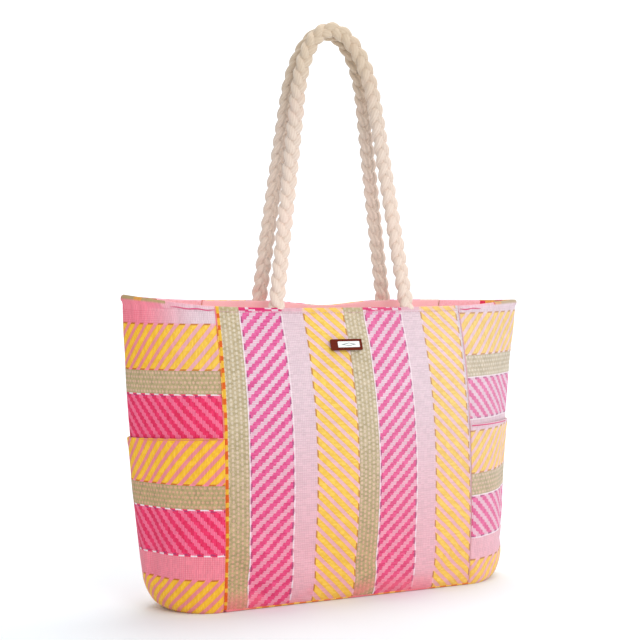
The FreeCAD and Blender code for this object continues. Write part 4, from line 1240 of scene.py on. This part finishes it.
def tooth(centre, side):
    """One moulded tooth: a rounded block with a lip towards the other row."""
    profile = [(-1, -1), (-1, 1), (0.55, 1), (1.0, 0.5), (1.0, -0.5), (0.55, -1)]
    wide, long, tall = TOOTH
    verts = []
    for dx in (-0.5, 0.5):
        for along, thick in profile:
            narrow = 1.0 if along < 0.6 else 0.7
            verts.append(centre + np.array([dx * wide * narrow, along * long / 2, thick * tall / 2]))
    n = len(profile)
    faces = [tuple(range(n)), tuple(range(n, 2 * n))[::-1]]
    for i in range(n):
        k = (i + 1) % n
        faces.append((i, i + n, k + n, k))
    verts = np.array(verts)
    return verts, turned(faces, side < 0), verts[:, :2]


def hang(side, flat):
    """Turn points of a closed flap (y from the hinge, z above the tape) into its hanging place."""
    x, reach, lift = flat.T
    return np.stack([x, side * (HINGE_Y - lift), ZIP_Z - reach], 1)


def stagger(side):
    """The back row's teeth lie between those of the front row."""
    return PITCH / 2 if side > 0 else 0.0


def make_flaps():
    """Two halves of the zip closure: cloth, tape and a row of teeth, hanging open inside the mouth."""
    for wall, side in WALLS:
        body = f"{wall}_flap"
        cloth = flap_sheet(f"{body}_cloth", side, 0.0, TEETH_AT - 5.5 * MM, 0.45 * MM, 1.0 * MM, 0.5 * MM)
        fit(cloth, FACING, body, [f"zip_panel_{wall}"])
        tape = flap_sheet(f"{body}_tape", side, HINGE_Y - 17 * MM, TEETH_AT, -0.3 * MM, 0.6 * MM)
        fit(tape, TAPE, body, [f"zip_tape_{wall}"])
        parts = Parts()
        for x in np.arange(-ZIP_HALF + 1.2 * MM + stagger(side), ZIP_HALF - 1.0 * MM, PITCH):
            verts, faces, uvs = tooth([x, TEETH_AT + ROW / 2, 0.0], side)
            parts.add(hang(side, verts), faces, uvs)
        fit(parts.piece(f"{body}_teeth", smooth=False), TEETH, body, [f"zip_coil_{wall}"])


def make_end_teeth():
    """Closed teeth on the two fixed ends."""
    parts = Parts()
    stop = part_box("zip_end_coils")[1].x - 0.6 * MM
    for hand in (-1, 1):
        for side in (-1, 1):
            for x in np.arange(ZIP_HALF + 1.4 * MM + stagger(side), stop, PITCH):
                verts, faces, uvs = tooth([hand * x, ZIP_GAP + ROW / 2, ZIP_Z], side)
                across = side * (2 * ZIP_GAP + ROW - verts[:, 1])
                parts.add(np.stack([verts[:, 0], across, verts[:, 2]], 1), faces, uvs)
    fit(parts.piece("end_teeth", smooth=False), TEETH, "bag", ["zip_end_coils"])


# ---------------------------------------------------------------- CAD nodes shown as they are

CARRIED = {
    "label_patch": LEATHER,
    "label_plate": PLATE,
    "zip_slider": GOLD,
    "zip_pull": GOLD,
    "zip_stops": GOLD,
    "zip_end_left": FACING,
    "zip_end_right": FACING,
}

# ---------------------------------------------------------------- stage

VIEW_TURN = math.radians(25.569)  # the camera stands this far round to the left of the front
VIEW_DISTANCE, VIEW_HEIGHT = 1.6367, 0.3738
SENSOR, FOCAL = 36, 73.23  # mm
FLOOR_HALF, FLOOR_FRONT, FLOOR_BACK = 5.0, 4.0, 1.6
FLOOR_CURVE, BACKDROP_TOP = 1.2, 4.0


def area_light(name, place, aim, size, power):
    data = bpy.data.lights.new(name, "AREA")
    data.shape = "DISK"
    data.size = size
    data.energy = power
    lamp = bpy.data.objects.new(name, data)
    lamp.location = place
    lamp.rotation_euler = (Vector(aim) - Vector(place)).to_track_quat("-Z", "Y").to_euler()
    bpy.context.scene.collection.objects.link(lamp)


def make_stage():
    """Pale floor that curves up behind, soft lights and a bright surround."""
    profile = [(-FLOOR_FRONT, 0.0), (FLOOR_BACK, 0.0)]
    for step in range(1, 13):
        angle = math.pi / 2 * step / 12
        profile.append((FLOOR_BACK + FLOOR_CURVE * math.sin(angle), FLOOR_CURVE * (1 - math.cos(angle))))
    profile.append((FLOOR_BACK + FLOOR_CURVE, BACKDROP_TOP))
    cos, sin = math.cos(VIEW_TURN), math.sin(VIEW_TURN)
    verts = []
    for y, z in profile:
        for x in (-FLOOR_HALF, FLOOR_HALF):
            verts.append((x * cos + y * sin, y * cos - x * sin, z))
    floor = new_mesh("floor", verts, grid_faces(len(profile), 2, flip=True))
    f = Finish("pale_floor")
    colour = f.mix(rgb(240, 245, 248), rgb(244, 249, 252), f.noise(3.0, 2.0))
    dress(floor, f.finish(colour, Roughness=0.9))
    world = bpy.data.worlds.new("surround")
    world.use_nodes = True
    background = world.node_tree.nodes["Background"]
    background.inputs["Color"].default_value = (1, 1, 1, 1)
    background.inputs["Strength"].default_value = 0.66
    bpy.context.scene.world = world
    middle = (0, 0, 0.3)
    area_light("key", (0.1, -2.6, 1.7), middle, 1.6, 26)
    area_light("fill", (2.2, -1.4, 1.4), middle, 2.0, 8)
    area_light("top", (0.0, 0.3, 3.0), middle, 2.2, 5)
    area_light("backdrop", (0.6, 0.6, 2.6), (1.4, 2.8, 0.6), 2.0, 50)


def make_camera():
    data = bpy.data.cameras.new("camera")
    data.lens = FOCAL
    data.sensor_width = SENSOR
    data.shift_x = -0.02
    data.shift_y = -0.0434
    camera = bpy.data.objects.new("camera", data)
    x, y = -VIEW_DISTANCE * math.sin(VIEW_TURN), -VIEW_DISTANCE * math.cos(VIEW_TURN)
    camera.location = (x, y, VIEW_HEIGHT)
    camera.rotation_euler = (math.pi / 2, math.radians(0.17), -VIEW_TURN)
    bpy.context.scene.collection.objects.link(camera)
    bpy.context.scene.camera = camera


# ---------------------------------------------------------------- the whole bag

for wall, side in WALLS:
    make_panel(wall, side)
for hand, side, gusset_start, pocket_start in (("left", -1, 90.0, 109.0), ("right", 1, 100.0, 102.0)):
    field = gusset_settle(side)
    make_gusset(hand, side, gusset_start, field)
    make_side_pocket(hand, side, pocket_start, field)
make_base()
make_facings()
make_lining()
make_inner_pocket()
make_seams()
make_hem_yarns()
make_foot_cord()
for wall, side in WALLS:
    make_handle(wall, side)
make_flaps()
make_end_teeth()
for node, material in CARRIED.items():
    dress(frame["nodes"][node], material)
make_stage()
make_camera()
bpy.context.scene.view_settings.view_transform = "Standard"
